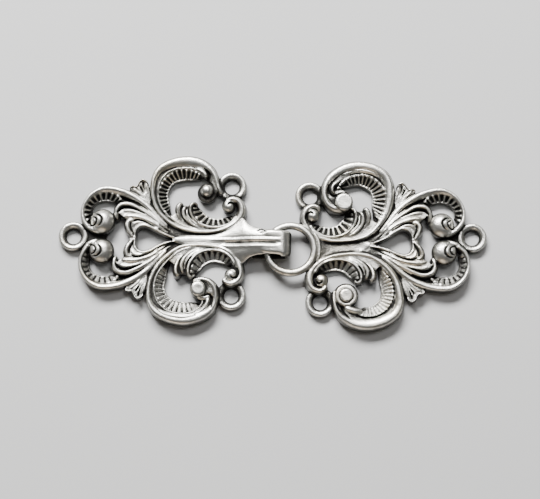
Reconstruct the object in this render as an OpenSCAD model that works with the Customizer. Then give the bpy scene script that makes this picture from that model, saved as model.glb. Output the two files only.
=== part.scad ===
// Two-part cast cloak clasp: a hook half and an eye half, hooked together.
// Each half is one casting of pierced scrollwork with a flat back and three sewing eyelets.

/* [Relief] */
// Height of the scrollwork above the flat back, at its highest ball
relief_height = 3.4; // [3:0.1:3.8]
// Width of a big scroll's band at its widest
band_width = 2.4; // [2.2:0.1:2.6]
// Flutes in the flange of a big scroll
big_flutes = 14; // [12:1:16]
// Flutes in the flange of the lower curve of a big scroll
lower_flutes = 7; // [6:1:9]
// Flutes in the flange of a small scroll
small_flutes = 7; // [6:1:9]
// Radius of the ball that a small scroll ends in
ball_r = 1.95; // [1.8:0.05:2.1]

/* [Eyelets] */
// Diameter of the sewing hole in each eyelet
eyelet_bore = 2.5; // [2.2:0.1:2.8]
// Outer diameter of the sewing eyelets
eyelet_width = 5.3; // [5:0.1:5.5]
// Thickness of the sewing eyelets
eyelet_thickness = 1.5; // [1.3:0.1:1.8]

/* [Hook] */
// Thickness of the hook's strap
strap_thickness = 1.15; // [1.05:0.05:1.2]
// Width of the hook's strap over the ring
strap_width = 4.6; // [4.2:0.1:4.8]
// Height of the hook over its bend
hook_height = 4.2; // [4.1:0.1:4.5]

/* [Ring] */
// Thickness of the ring's wire
ring_wire = 1.36; // [1.2:0.02:1.4]
// Radius of the ring, to the middle of its wire
ring_r = 4.2; // [4.15:0.05:4.3]

/* [Hidden] */
silver = "silver";
overlap = 0.01;
$fn = 48;

// Where the halves stand, and how each is turned: the middle of its pair of big scrolls
hook_at = [-15.45, 0.5, 0];
hook_yaw = -1.7;
eye_at = [15.8, -0.45, 0];
eye_yaw = 4.2;

// Each half is drawn with +X towards its partner and its axis on y = 0. The tables give the
// scrollwork on the +Y side of that axis, for the relief height and the band width given here.
drawn_height = 3.4;
drawn_width = 2.4;

// Cross-sections of a ribbon, from its right edge to its left: [share of half width, share of crest]
BAND = [[-1, 0], [-0.7, 1], [0.7, 1], [1, 0]];
RIDGE = [[-1, 0], [-0.85, 0.65], [0, 1], [0.85, 0.65], [1, 0]];

// Big scroll's band, from the volute beside the hook or ring round to the drum: [x, y, width, crest]
BIG_BAND = [
    [7.8, 7.45, 0.8, 2.2],
    [9.2, 7.5, 1.4, 2.3],
    [10.1, 6.1, 1.8, 2.3],
    [9.4, 4.1, 1.5, 2.2],
    [7.4, 2.4, 1.2, 2.1],
    [4.8, 1.45, 1.1, 2.0],
    [1.8, 1.45, 1.1, 2.0],
    [-0.9, 2.25, 1.1, 2.0],
    [-3.5, 3.9, 1.2, 2.1],
    [-5.2, 6.3, 1.4, 2.2],
    [-5.75, 9.0, 1.7, 2.4],
    [-4.75, 11.75, 2.1, 2.5],
    [-2.6, 13.55, 2.3, 2.6],
    [0.2, 14.2, 2.4, 2.6],
    [2.8, 13.5, 2.3, 2.6]];
// The band's tail to the drum, then how far the eye half's tail lies outside it: [x, y, width, crest]
BAND_TAIL = [[4.6, 11.7, 2.1, 2.6], [5.2, 9.6, 1.7, 2.6], [4.2, 7.6, 1.5, 2.5]];
TAIL_SPREAD = [[0.5, 0.2, 0, 0], [0.8, 0, 0, 0], [0.8, -0.4, 0, 0]];

// Curled lip inside the band's turn: [x, y, width, crest]
LIP = [[1.3, 13.2, 1.0, 2.3], [2.9, 12.6, 1.4, 2.5], [3.3, 11.7, 1.3, 2.6], [2.6, 11.2, 0.7, 2.3]];

// Fluted flanges, about their centres: [angle, inner radius, outer radius]
BIG_FLANGE_CENTRE = [-0.3, 8.45];
BIG_FLANGE = [
    [32, 3.2, 4.9],
    [60, 2.7, 4.9],
    [95, 2.45, 4.8],
    [140, 2.55, 4.8],
    [180, 2.75, 4.9],
    [215, 3.1, 5.1],
    [242, 4.0, 5.4]];
LOWER_FLANGE_CENTRE = [5.1, 6.3];
LOWER_FLANGE = [[188, 2.5, 4.0], [225, 2.3, 4.0], [270, 2.2, 4.0], [318, 2.9, 4.1]];
SMALL_FLANGE_CENTRE = [-14.7, 4.9];
SMALL_FLANGE = [[40, 2.3, 4.2], [75, 2.1, 3.8], [120, 2.0, 3.5], [160, 2.0, 3.4], [205, 2.2, 3.4]];

// Lower curve's rim and the two lobes of the leaf beside it: [x, y, width, crest]
LOWER_RIM = [
    [2.0, 6.5, 0.5, 1.9],
    [1.0, 6.2, 1.0, 2.3],
    [1.1, 4.6, 1.0, 2.2],
    [2.5, 3.1, 0.9, 2.1],
    [5.1, 2.35, 0.8, 2.0],
    [7.4, 2.95, 0.8, 2.0],
    [8.8, 4.4, 0.8, 2.0],
    [9.0, 5.9, 0.8, 2.0]];
LEAF_LOBES = [
    [[-1.3, 6.7, 0.5, 1.9], [-1.75, 5.6, 1.1, 2.1], [-1.2, 4.2, 1.0, 2.0], [0.8, 2.5, 0.7, 1.8]],
    [[-0.1, 6.1, 0.5, 2.0], [-0.55, 5.3, 1.0, 2.2], [0.05, 4.1, 0.9, 2.1], [2.3, 2.3, 0.7, 1.9]]];

// Small scroll's band, with its stem from the root of the leaf: [x, y, width, crest]
SMALL_BAND = [
    [-2.9, 1.9, 0.8, 1.9],
    [-5.2, 4.0, 1.1, 2.0],
    [-7.2, 6.3, 1.3, 2.1],
    [-9.7, 8.2, 1.6, 2.2],
    [-12.9, 8.95, 1.4, 2.3],
    [-15.9, 8.2, 1.3, 2.3],
    [-17.8, 6.4, 1.2, 2.3],
    [-18.2, 4.3, 1.2, 2.3],
    [-17.4, 2.7, 1.3, 2.3],
    [-15.8, 1.9, 1.4, 2.3]];

// Leaf between the small scroll and the axis: [x, y, width, crest]
LEAF_OUTER = [
    [-2.9, 1.5, 0.7, 1.9],
    [-5.4, 3.2, 0.9, 2.1],
    [-8.0, 5.1, 0.9, 2.3],
    [-10.6, 6.4, 1.0, 2.5],
    [-12.2, 5.5, 1.1, 2.5],
    [-12.1, 3.7, 0.8, 2.1]];
LEAF_VEIN = [[-3.4, 1.5, 0.6, 1.8], [-6.2, 3.0, 0.7, 2.0], [-8.8, 4.4, 0.8, 2.1], [-11.3, 4.3, 0.6, 2.0]];
LEAF_INNER = [
    [-5.0, 2.4, 0.7, 1.9],
    [-7.6, 3.6, 0.9, 2.2],
    [-9.7, 3.7, 1.1, 2.4],
    [-10.3, 2.5, 1.1, 2.4],
    [-9.8, 1.2, 1.1, 2.2],
    [-9.0, -0.2, 1.0, 2.0]];
HEART_RIM = [[-1.8, 0.5, 0.8, 1.8], [-4.5, 1.6, 0.8, 1.9], [-6.9, 2.6, 0.8, 2.0], [-8.6, 2.1, 0.8, 1.9]];

// Three lobes of the small fan between the scrolls: [x, y, width, crest]
FAN_LOBES = [
    [[-6.5, 6.1, 0.6, 1.7], [-8.4, 8.4, 1.1, 2.0], [-9.7, 9.4, 1.4, 1.9], [-10.3, 9.6, 0.6, 1.5]],
    [[-6.4, 6.4, 0.6, 1.7], [-7.6, 9.0, 1.1, 2.0], [-8.2, 10.3, 1.4, 1.9], [-8.5, 10.9, 0.6, 1.5]],
    [[-6.3, 6.7, 0.6, 1.7], [-6.8, 8.7, 1.0, 2.0], [-7.2, 10.1, 1.2, 1.9], [-7.4, 10.8, 0.6, 1.5]]];

// Low beds that tie the raised work together, as half outlines from the axis: [x, y]
SPINE_BED = [
    [-1.9, -0.1],
    [-3.2, 1.2],
    [-6.6, 5.4],
    [-6.4, 7.6],
    [-5.1, 5.6],
    [-3.2, 3.6],
    [-0.9, 2.3],
    [1.8, 1.5],
    [4.8, 1.5],
    [7.4, 2.4],
    [9.3, 4.1],
    [9.9, 2.4],
    [9.9, -0.1]];
LEAF_BED = [
    [-2.9, 3.3],
    [1.8, 1.4],
    [5.1, 1.5],
    [8.0, 2.7],
    [9.6, 4.9],
    [9.0, 5.4],
    [7.5, 3.1],
    [5.1, 2.4],
    [2.7, 3.1],
    [1.1, 5.2],
    [-0.4, 5.2],
    [-1.8, 5.4]];
ROOT_BED = [
    [-2.9, 1.3],
    [-6.9, 2.5],
    [-8.8, 2.2],
    [-9.2, -0.1],
    [-9.8, -0.1],
    [-10.1, 3.5],
    [-12.0, 4.6],
    [-11.9, 5.6],
    [-8.0, 5.1],
    [-5.4, 3.6]];
END_BED = [[-18.2, -0.1], [-17.6, 2.5], [-16.1, 2.15], [-13.7, 1.6], [-14.3, -0.1]];

// Ends of the scrolls: [drum x, drum y, drum radius, ball or cap radius, top, 1 for a flat cap]
HOOK_UP_BOSS = [3.4, 9.0, 1.9, 1.1, 3.4, 0];
HOOK_LOW_BOSS = [2.8, 8.1, 2.2, 1.5, 3.3, 0];
EYE_UP_BOSS = [2.9, 8.0, 2.15, 1.46, 3.1, 1];
EYE_LOW_BOSS = [3.6, 8.15, 2.2, 1.5, 3.1, 1];
drum_top = 2.3;
drum_round = 0.3;
cap_step = 0.35;
cap_round = 0.2;
boss_sides = 11;
ball_at = [-14.8, 2.9];
volute_at = [7.7, 6.5];
volute_r = 1.15;
volute_top = 2.8;

// Sewing eyelets: [x, y]
HOOK_EYELETS = [[7.9, 10.0], [8.4, -9.6], [-19.92, 0.2]];
EYE_EYELETS = [[8.5, 9.6], [8.2, -9.5], [-19.6, 0]];
mouth_r = 1.7;
land_share = 0.6;
rim_round = 0.45;

// Heights of the flanges, their flutes and the beds, over the back
flange_inner_z = 0.9;
flange_outer_z = 1.5;
flute_height = 0.4;
bed_z = 1.1;
spine_z = 1.6;

// Spine on the axis: [x, y, width, crest], and the rib on each side of it: [x, width, crest]
SPINE = [[-3.0, 0, 1.2, spine_z], [3, 0, 1.8, spine_z], [10.1, 0, 1.8, spine_z]];
SPINE_RIB = [[5.2, 0.5, spine_z], [7.5, 0.9, 2.0], [10.2, 1.0, 2.0]];
spine_rib_y = 0.8;

// Neck of the hook, where its strap rises over the ring, and the tips of the strap and its return
neck_back = 10.4;
neck_corner = 0.5;
strap_tip = 18.8;
return_tip = 11.85;
return_width = 4.7;
return_y = -0.45;
hook_block = 12;
bend_r = hook_height / 2;
bend_x = strap_tip - bend_r;
strap_under = hook_height - strap_thickness;
NECK_TOP = [[11.4, 0], [10.2, 0.5], [8.8, 1.7], [7.0, 2.5]]; // [x, depth below the hook's height]
SHOULDER = [[7.0, 1.5], [8.8, 2.3], [10.2, 3.7], [11.1, 4.1], [12.0, 3.5], [13.0, 2.9]]; // [x, half width]
// Half cross-section of the strap's top, with its fine grooves: [y, depth below the hook's height]
STRAP_SECTION = [
    [0, 0.35],
    [0.4, 0],
    [1.05, 0],
    [1.25, 0.2],
    [1.45, 0.05],
    [2.0, 0.15],
    [5.0, 1.9],
    [5.0, 4.2]];
// Curve of metal from the volute up to the neck: [x, y, width, crest]
NECK_WING = [[9.3, 4.6, 1.2, 2.2], [10.2, 4.6, 1.7, 2.5], [10.9, 4.0, 1.8, 2.9], [11.2, 3.1, 1.4, 3.1]];

ring_at = [12.7, 0.15, (strap_under + strap_thickness) / 2];
COLLARS = [[9.4, 2.3], [8.2, 2.0]]; // [x, half width]
collar_thickness = 0.9;
collar_z = 2.5;

// Catmull-Rom curve through the rows of a table, every column at once, in n steps
function curve(rows, n) = [
    for (i = [0 : n])
        let (
            s = i / n * (len(rows) - 1),
            k = min(floor(s), len(rows) - 2),
            t = s - k,
            a = rows[max(k - 1, 0)],
            b = rows[k],
            c = rows[k + 1],
            d = rows[min(k + 2, len(rows) - 1)])
        0.5 * (2 * b + t * (c - a) + t * t * (2 * a - 5 * b + 4 * c - d)
            + t * t * t * (3 * b - a - 3 * c + d))];

// Point at an angle and radius about a centre
function polar(centre, angle, radius) = centre + radius * [cos(angle), sin(angle)];

// Unit direction of the path at station i
function heading(path, i) =
    let (
        a = path[max(i - 1, 0)],
        b = path[min(i + 1, len(path) - 1)],
        d = [b[0] - a[0], b[1] - a[1]])
    d / norm(d);

// The big scroll's rows with a tail spread by a share, at the driving width
function big_band_rows(spread) = [
    for (row = concat(BIG_BAND, [for (i = [0 : 2]) BAND_TAIL[i] + spread * TAIL_SPREAD[i]]))
        [row[0], row[1], row[2] * band_width / drawn_width, row[3]]];

// Closed solid through a list of rings, each ring counter-clockwise seen along the path
module loft(rings) {
    n = len(rings);
    m = len(rings[0]);
    sides = [
        for (i = [0 : n - 2], j = [0 : m - 1], half = [0, 1])
            let (a = i * m + j, b = i * m + (j + 1) % m)
            half == 0 ? [a, b, b + m] : [a, b + m, a + m]];
    start_cap = [[for (j = [m - 1 : -1 : 0]) j]];
    end_cap = [[for (j = [0 : m - 1]) (n - 1) * m + j]];
    polyhedron(points = [for (ring = rings, p = ring) p], faces = concat(start_cap, sides, end_cap));
}

// Raised band that stands on the flat back, along a path of rows of x, y, width and crest
module ribbon(path, section) {
    loft([
        for (i = [0 : len(path) - 1])
            let (row = path[i], h = heading(path, i), side = [-h.y, h.x] * row[2] / 2)
            [for (p = section) [row[0] + side.x * p[0], row[1] + side.y * p[0], row[3] * p[1]]]]);
}

// Sloping flange with radial flutes, along rows of angle, inner radius and outer radius
module fluted_flange(centre, rows, flutes) {
    path = curve(rows, 2 * flutes);
    loft([
        for (i = [0 : 2 * flutes])
            let (
                row = path[i],
                inner = polar(centre, row[0], row[1]),
                outer = polar(centre, row[0], row[2]),
                rise = i % 2 == 0 ? 0 : flute_height)
            [
                [outer.x, outer.y, 0],
                [outer.x, outer.y, flange_outer_z + rise],
                [inner.x, inner.y, flange_inner_z + rise],
                [inner.x, inner.y, 0]]]);
}

// Flat bed, from a half outline
module bed(outline, height) {
    linear_extrude(height) polygon(outline);
}

// Drum that a big scroll ends in, with its ball or its stepped flat cap
module boss(spec) {
    r = spec[3];
    top = spec[4];
    wall = [[0, 0], [spec[2], 0], [spec[2], drum_top - drum_round], [spec[2] - drum_round, drum_top]];
    cap = spec[5] == 1
        ? [
            [r + cap_step, drum_top],
            [r + cap_step, top - cap_step],
            [r, top - cap_step],
            [r - cap_round, top],
            [0, top]]
        : [for (a = [0 : 30 : 90]) [r * cos(a), drum_top + (top - drum_top) * sin(a)]];
    translate([spec[0], spec[1], 0])
        rotate_extrude($fn = boss_sides) polygon(concat(wall, cap));
}

// Round ball that stands on the back, flattened to a given top
module button(centre, r, top) {
    dome = [for (a = [0 : 30 : 90]) [r * cos(a), top * (1 + sin(a)) / 2]];
    translate([centre.x, centre.y, 0])
        rotate_extrude($fn = boss_sides) polygon(concat([[0, 0], [r, 0]], dome));
}

// All the raised work on one side of a half's axis
module side_relief(boss_spec, spread) {
    ribbon(curve(big_band_rows(spread), 27), BAND);
    ribbon(curve(LIP, 4), BAND);
    fluted_flange(BIG_FLANGE_CENTRE, BIG_FLANGE, big_flutes);
    fluted_flange(LOWER_FLANGE_CENTRE, LOWER_FLANGE, lower_flutes);
    ribbon(curve(LOWER_RIM, 9), RIDGE);
    for (lobe = LEAF_LOBES) {
        ribbon(curve(lobe, 4), RIDGE);
    }
    boss(boss_spec);
    button(volute_at, volute_r, volute_top);

    ribbon(curve(SMALL_BAND, 14), BAND);
    fluted_flange(SMALL_FLANGE_CENTRE, SMALL_FLANGE, small_flutes);
    button(ball_at, ball_r, drawn_height);

    ribbon(curve(LEAF_OUTER, 9), RIDGE);
    ribbon(curve(LEAF_VEIN, 4), RIDGE);
    ribbon(curve(LEAF_INNER, 7), RIDGE);
    ribbon(curve(HEART_RIM, 5), RIDGE);
    for (lobe = FAN_LOBES) {
        ribbon(lobe, BAND);
    }
    bed(SPINE_BED, bed_z);
    bed(LEAF_BED, bed_z);
    bed(ROOT_BED, bed_z);
    bed(END_BED, spine_z);
}

// Scrollwork of a half: both sides, the spine between them and any children, at the driving height
module scrollwork(up_boss, low_boss, spread) {
    resize([0, 0, relief_height]) {
        side_relief(up_boss, spread);
        mirror([0, 1, 0]) side_relief(low_boss, spread);
        ribbon(SPINE, BAND);
        for (y = [-spine_rib_y, spine_rib_y]) {
            ribbon([for (row = SPINE_RIB) [row[0], y, row[1], row[2]]], RIDGE);
        }
        children();
    }
}

// Sewing eyelet: a flat ring with a rounded rim, its hole flared at the top
module eyelet(at) {
    bore_r = eyelet_bore / 2;
    outer_r = eyelet_width / 2;
    land = eyelet_thickness * land_share;
    translate([at.x, at.y, 0])
        rotate_extrude()
            polygon([
                [bore_r, 0],
                [outer_r, 0],
                [outer_r, eyelet_thickness - rim_round],
                [outer_r - rim_round, eyelet_thickness],
                [mouth_r, eyelet_thickness],
                [bore_r, land]]);
}

// Clear way through an eyelet, for what else would stand in it
module eyelet_way(at) {
    translate([at.x, at.y, -1]) cylinder(r = eyelet_bore / 2, h = 3 * relief_height);
    translate([at.x, at.y, eyelet_thickness * land_share])
        cylinder(r = mouth_r, h = 3 * relief_height);
}

// A half's scrollwork with its three eyelets
module body(up_boss, low_boss, spread, eyelets) {
    difference() {
        scrollwork(up_boss, low_boss, spread) children();
        for (at = eyelets) {
            eyelet_way(at);
        }
    }
    for (at = eyelets) {
        eyelet(at);
    }
}

// Side view of the hook's strap over the ring, from the neck to the bend
module strap_side() {
    polygon(concat(
        [
            [7.0, 0],
            [neck_back, 0],
            [neck_back, strap_under - neck_corner],
            [neck_back + neck_corner, strap_under],
            [bend_x, strap_under],
            [bend_x, hook_height]],
        [for (p = NECK_TOP) [p[0], hook_height - p[1]]]));
}

// Side view of the bend and the return leg under the ring
module return_side() {
    intersection() {
        difference() {
            translate([bend_x, bend_r]) circle(r = bend_r);
            translate([bend_x, bend_r]) circle(r = bend_r - strap_thickness);
        }
        translate([bend_x - overlap, 0]) square([hook_height, hook_height]);
    }
    translate([return_tip, 0]) square([bend_x - return_tip, strap_thickness]);
}

// Metal that sweeps from both volutes up to the neck of the hook
module neck_wings() {
    ribbon(curve(NECK_WING, 5), BAND);
    mirror([0, 1, 0]) ribbon(curve(NECK_WING, 5), BAND);
}

// The hook: a strap that rises from the spine, runs over the ring, bends down and comes back under it
module hook() {
    plan = concat(SHOULDER, [[13.8, strap_width / 2], [strap_tip, strap_width / 2]]);
    intersection() {
        rotate([90, 0, 0]) linear_extrude(hook_block, center = true) strap_side();
        linear_extrude(2 * hook_height)
            polygon(concat(
                [for (p = plan) [p[0], p[1]]],
                [for (i = [len(plan) - 1 : -1 : 0]) [plan[i][0], -plan[i][1]]]));
        rotate([90, 0, 90])
            linear_extrude(strap_tip)
                polygon(concat(
                    [for (p = STRAP_SECTION) [p[0], hook_height - p[1]]],
                    [for (i = [len(STRAP_SECTION) - 1 : -1 : 1])
                        [-STRAP_SECTION[i][0], hook_height - STRAP_SECTION[i][1]]]));
    }
    translate([0, return_y, 0])
        rotate([90, 0, 0]) linear_extrude(return_width, center = true) return_side();
}

// The eye: a ring of round wire and the collars that it grows from
module ring() {
    translate(ring_at)
        rotate_extrude()
            translate([ring_r, 0]) circle(r = ring_wire / 2);
    for (c = COLLARS) {
        translate([c[0] - collar_thickness / 2, -c[1], 0]) cube([collar_thickness, 2 * c[1], collar_z]);
    }
}

// Hook half of the clasp
module hook_half() {
    color(silver)
        translate(hook_at)
            rotate([0, 0, hook_yaw]) {
                body(HOOK_UP_BOSS, HOOK_LOW_BOSS, 0, HOOK_EYELETS) neck_wings();
                hook();
            }
}

// Eye half of the clasp
module eye_half() {
    color(silver)
        translate(eye_at)
            rotate([0, 0, eye_yaw])
                mirror([1, 0, 0]) {
                    body(EYE_UP_BOSS, EYE_LOW_BOSS, 1, EYE_EYELETS);
                    ring();
                }
}

hook_half();
eye_half();
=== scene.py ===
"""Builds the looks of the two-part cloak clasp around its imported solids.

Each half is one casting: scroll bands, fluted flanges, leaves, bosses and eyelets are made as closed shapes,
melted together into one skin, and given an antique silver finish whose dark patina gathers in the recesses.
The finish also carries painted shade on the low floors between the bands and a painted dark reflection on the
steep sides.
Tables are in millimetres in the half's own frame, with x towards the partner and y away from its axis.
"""

import logging
import math
from dataclasses import dataclass, field
from enum import Enum

import bmesh
import bpy
import numpy as np
from mathutils import Matrix, Vector


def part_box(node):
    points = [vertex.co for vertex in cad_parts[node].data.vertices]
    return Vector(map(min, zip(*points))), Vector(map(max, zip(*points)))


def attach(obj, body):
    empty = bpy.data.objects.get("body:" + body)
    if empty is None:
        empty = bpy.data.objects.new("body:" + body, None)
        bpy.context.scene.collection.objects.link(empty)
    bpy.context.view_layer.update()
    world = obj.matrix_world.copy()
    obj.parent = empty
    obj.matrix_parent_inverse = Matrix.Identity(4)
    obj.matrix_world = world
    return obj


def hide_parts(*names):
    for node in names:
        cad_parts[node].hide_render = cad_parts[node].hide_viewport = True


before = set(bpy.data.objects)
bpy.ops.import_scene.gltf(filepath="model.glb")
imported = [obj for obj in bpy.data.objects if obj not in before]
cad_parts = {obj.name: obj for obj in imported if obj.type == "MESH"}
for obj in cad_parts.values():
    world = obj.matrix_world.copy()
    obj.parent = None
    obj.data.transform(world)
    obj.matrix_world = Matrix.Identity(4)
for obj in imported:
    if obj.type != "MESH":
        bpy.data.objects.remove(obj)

log = logging.getLogger("cloak_clasp")

MM = 0.001
VOXEL_MM = 0.1
MOST_TRIANGLES = 190_000
# Power of a band's crown, lower is flatter on top, and points across it
BROAD_CROWN, COLLAR_CROWN, FINE_CROWN = 0.55, 0.6, 0.75
PROFILE_POINTS = 15
# Steps along the big band, the small band, what lies under them and a fine stroke, and for each row of a line
BIG_STEPS, SMALL_STEPS, UNDER_STEPS, FINE_STEPS, LINE_STEPS = 260, 170, 90, 60, 24

Row = tuple[float, ...]
Point = tuple[float, float]
Place = tuple[float, float, float]
Colour = tuple[float, float, float, float]
Mesh = bpy.types.Mesh
Material = bpy.types.Material
Socket = bpy.types.NodeSocket


class Side(Enum):
    """Side of a half's axis, with the sign of its y."""

    UPPER = 1
    LOWER = -1


class Cap(Enum):
    """How the drum at the end of a big scroll is topped."""

    BALL = "ball"
    BUTTON = "button"
    FLAT = "flat"
    RINGED = "ringed"


# Curves and closed shapes


def curve(rows: list[Row], steps: int) -> np.ndarray:
    """Smooth curve through the rows of a table, every column at once.

    Args:
        rows: Table rows, each with the same columns.
        steps: Number of steps along the whole curve.

    Returns:
        An array of steps + 1 rows.
    """
    table = np.array(rows, float)
    last = len(table) - 1
    out = []
    for i in range(steps + 1):
        s = i / steps * last
        k = min(int(s), last - 1)
        t = s - k
        a, b, c, d = table[max(k - 1, 0)], table[k], table[k + 1], table[min(k + 2, last)]
        bend, twist = 2 * a - 5 * b + 4 * c - d, 3 * b - a - 3 * c + d
        out.append(0.5 * (2 * b + t * (c - a) + t * t * bend + t**3 * twist))
    return np.array(out)


def polar(centre: Point, angle: float, radius: float) -> Point:
    """Point at an angle in degrees and a radius about a centre."""
    a = math.radians(angle)
    return centre[0] + radius * math.cos(a), centre[1] + radius * math.sin(a)


@dataclass
class Shell:
    """Closed shapes gathered as points and faces, in millimetres."""

    points: list[Place] = field(default_factory=list)
    faces: list[tuple[int, ...]] = field(default_factory=list)

    def loft(self, rings: list[list[Place]]) -> "Shell":
        """Adds a closed solid through rings of equal length.

        Args:
            rings: The cross-sections in order, each a closed loop of points.

        Returns:
            The shell itself.
        """
        start, m = len(self.points), len(rings[0])
        for ring in rings:
            self.points.extend(ring)
        for i in range(len(rings) - 1):
            for j in range(m):
                a, b = start + i * m + j, start + i * m + (j + 1) % m
                self.faces.append((a, b, b + m, a + m))
        end = start + (len(rings) - 1) * m
        self.faces.append(tuple(start + j for j in reversed(range(m))))
        self.faces.append(tuple(end + j for j in range(m)))
        return self

    def revolve(self, centre: Point, profile: list[Point], sides: int = 64, closed: bool = False) -> "Shell":
        """Adds a turned shape about a vertical axis.

        Args:
            centre: Where the axis stands.
            profile: Radius and height of each turn, from the bottom up.
            sides: Number of sides round the axis.
            closed: Whether the profile is a loop, as for a ring with a hole.

        Returns:
            The shell itself.
        """
        start, n = len(self.points), len(profile)
        for j in range(sides):
            a = 2 * math.pi * j / sides
            for r, z in profile:
                r = max(r, 1e-4)
                self.points.append((centre[0] + r * math.cos(a), centre[1] + r * math.sin(a), z))
        for j in range(sides):
            here, there = start + j * n, start + (j + 1) % sides * n
            for i in range(n if closed else n - 1):
                k = (i + 1) % n
                self.faces.append((here + i, there + i, there + k, here + k))
        if not closed:
            self.faces.append(tuple(start + j * n for j in reversed(range(sides))))
            self.faces.append(tuple(start + j * n + n - 1 for j in range(sides)))
        return self

    def prism(self, outline: list[Point], height: float) -> None:
        """Adds a flat plate on the back, from its outline and its height."""
        self.loft([[(x, y, z) for x, y in outline] for z in (0.0, height)])

    def dome(self, at: Point, radius: float, top: float, squash: float) -> None:
        """Adds a ball on a foot.

        Args:
            at: Where it stands.
            radius: Radius of the ball.
            top: Height of its top.
            squash: Height of the ball as a share of its width.
        """
        low, foot = top - radius * squash, radius * 0.9
        angles = np.linspace(-0.7, math.pi / 2, 16)[4:]
        ball = [(radius * math.cos(a), low + squash * radius * math.sin(a)) for a in angles]
        self.revolve(at, [(0.0, 0.0), (foot, 0.0), (foot, low - 0.5 * radius), *ball])

    def mirrored(self) -> "Shell":
        """The same shapes on the other side of the axis."""
        return Shell([(x, -y, z) for x, y, z in self.points], [tuple(reversed(f)) for f in self.faces])

    def add(self, other: "Shell") -> None:
        """Takes over the shapes of another shell.

        Args:
            other: The shell whose shapes are added.
        """
        start = len(self.points)
        self.points.extend(other.points)
        self.faces.extend(tuple(start + i for i in f) for f in other.faces)

    def mesh(self, name: str) -> Mesh:
        """Makes a Blender mesh of the shapes.

        Args:
            name: Name of the mesh.

        Returns:
            The mesh, in metres, with its faces outwards.
        """
        made = bpy.data.meshes.new(name)
        made.from_pydata([(x * MM, y * MM, z * MM) for x, y, z in self.points], [], self.faces)
        work = bmesh.new()
        work.from_mesh(made)
        bmesh.ops.recalc_face_normals(work, faces=work.faces)
        work.to_mesh(made)
        work.free()
        return made


# Strokes and flutes by Geometry Nodes


@dataclass
class Stroke:
    """Raised band of the casting along a path.

    Attributes:
        rows: Path as x, y, width and crest, and where given the crest's lean to the left of travel, as a
            share of the half width.
        steps: Samples along the path.
    """

    rows: list[Row]
    steps: int = FINE_STEPS

    def samples(self) -> np.ndarray:
        """Samples the path, narrowed and lowered over its rounded ends.

        Returns:
            Rows of x, y, half width, crest and lean.
        """
        path = curve([(*row, 0.0)[:5] for row in self.rows], self.steps)
        path[:, 2] /= 2
        run = np.concatenate([[0], np.cumsum(np.hypot(*np.diff(path[:, :2], axis=0).T))])
        for distance in (run, run[-1] - run):
            near = np.clip(distance / np.maximum(path[:, 2], 1e-3), 0, 1)
            rounded = 1 - (1 - near) ** 2
            path[:, 2] *= np.sqrt(np.clip(rounded, 0.04, 1))
            path[:, 3] *= 0.8 + 0.2 * np.sqrt(np.clip(rounded, 0, 1))
        return path


@dataclass
class Flange:
    """Sloping flange with radial ribs and a raised rim along its opening.

    Attributes:
        centre: Centre that the ribs point to.
        rows: Angle, inner radius and outer radius.
        ribs: Number of raised ribs.
        inner_z: Height at the opening.
        outer_z: Height under the band.
    """

    centre: Point
    rows: list[Row]
    ribs: int
    inner_z: float
    outer_z: float

    def edges(self) -> tuple[list[Point], list[Point]]:
        """The points of the inner and of the outer edge."""
        path = curve(self.rows, 72)
        return [polar(self.centre, a, r) for a, r, _ in path], [polar(self.centre, a, r) for a, _, r in path]

    def floor(self) -> Shell:
        """Makes the hollow floor that the ribs stand on.

        Returns:
            The floor as a loft from one end of the flange to the other.
        """
        rings = []
        for (ix, iy), (ox, oy) in zip(*self.edges()):
            ring = [(ox, oy, 0.0)]
            for share in (1.0, 0.75, 0.5, 0.25, 0.0):
                z = self.inner_z + (self.outer_z - self.inner_z) * share**1.5
                ring.append((ix + share * (ox - ix), iy + share * (oy - iy), z))
            rings.append(ring + [(ix, iy, 0.0)])
        return Shell().loft(rings)

    def rim(self) -> Stroke:
        """Makes the raised rim along the opening.

        Returns:
            The rim as a stroke.
        """
        rim_in, rim_width, rim_rise = 0.12, 0.38, 0.42
        points = [polar(self.centre, a, r + rim_in) for a, r, _ in curve(self.rows, 8)]
        return Stroke([(x, y, rim_width, self.inner_z + rim_rise) for x, y in points])


class Net:
    """Node tree under construction, for a shape or for a finish."""

    def __init__(self, tree: bpy.types.NodeTree) -> None:
        """Takes the tree that is to be filled."""
        self.tree = tree

    def put(self, target: Socket, value: object) -> None:
        """Fills an input.

        Args:
            target: The input.
            value: A socket to link to it, or a value to set.
        """
        if isinstance(value, bpy.types.NodeSocket):
            self.tree.links.new(value, target)
        else:
            target.default_value = value

    def out(self, kind: str, inputs: dict | None = None, output: str | int = 0, **settings: object) -> Socket:
        """Adds a node.

        Args:
            kind: Type of the node.
            inputs: Name or number of each input that is filled, with its socket or value.
            output: Name or number of the wanted output.
            settings: Properties of the node.

        Returns:
            The wanted output.
        """
        node = self.tree.nodes.new(kind)
        for key, value in settings.items():
            setattr(node, key, value)
        for key, value in (inputs or {}).items():
            self.put(node.inputs[key], value)
        return node.outputs[output]

    def math(self, operation: str, *values: object) -> Socket:
        """Output of a Math node whose inputs are sockets or numbers."""
        return self.out("ShaderNodeMath", dict(enumerate(values)), operation=operation)


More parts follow.
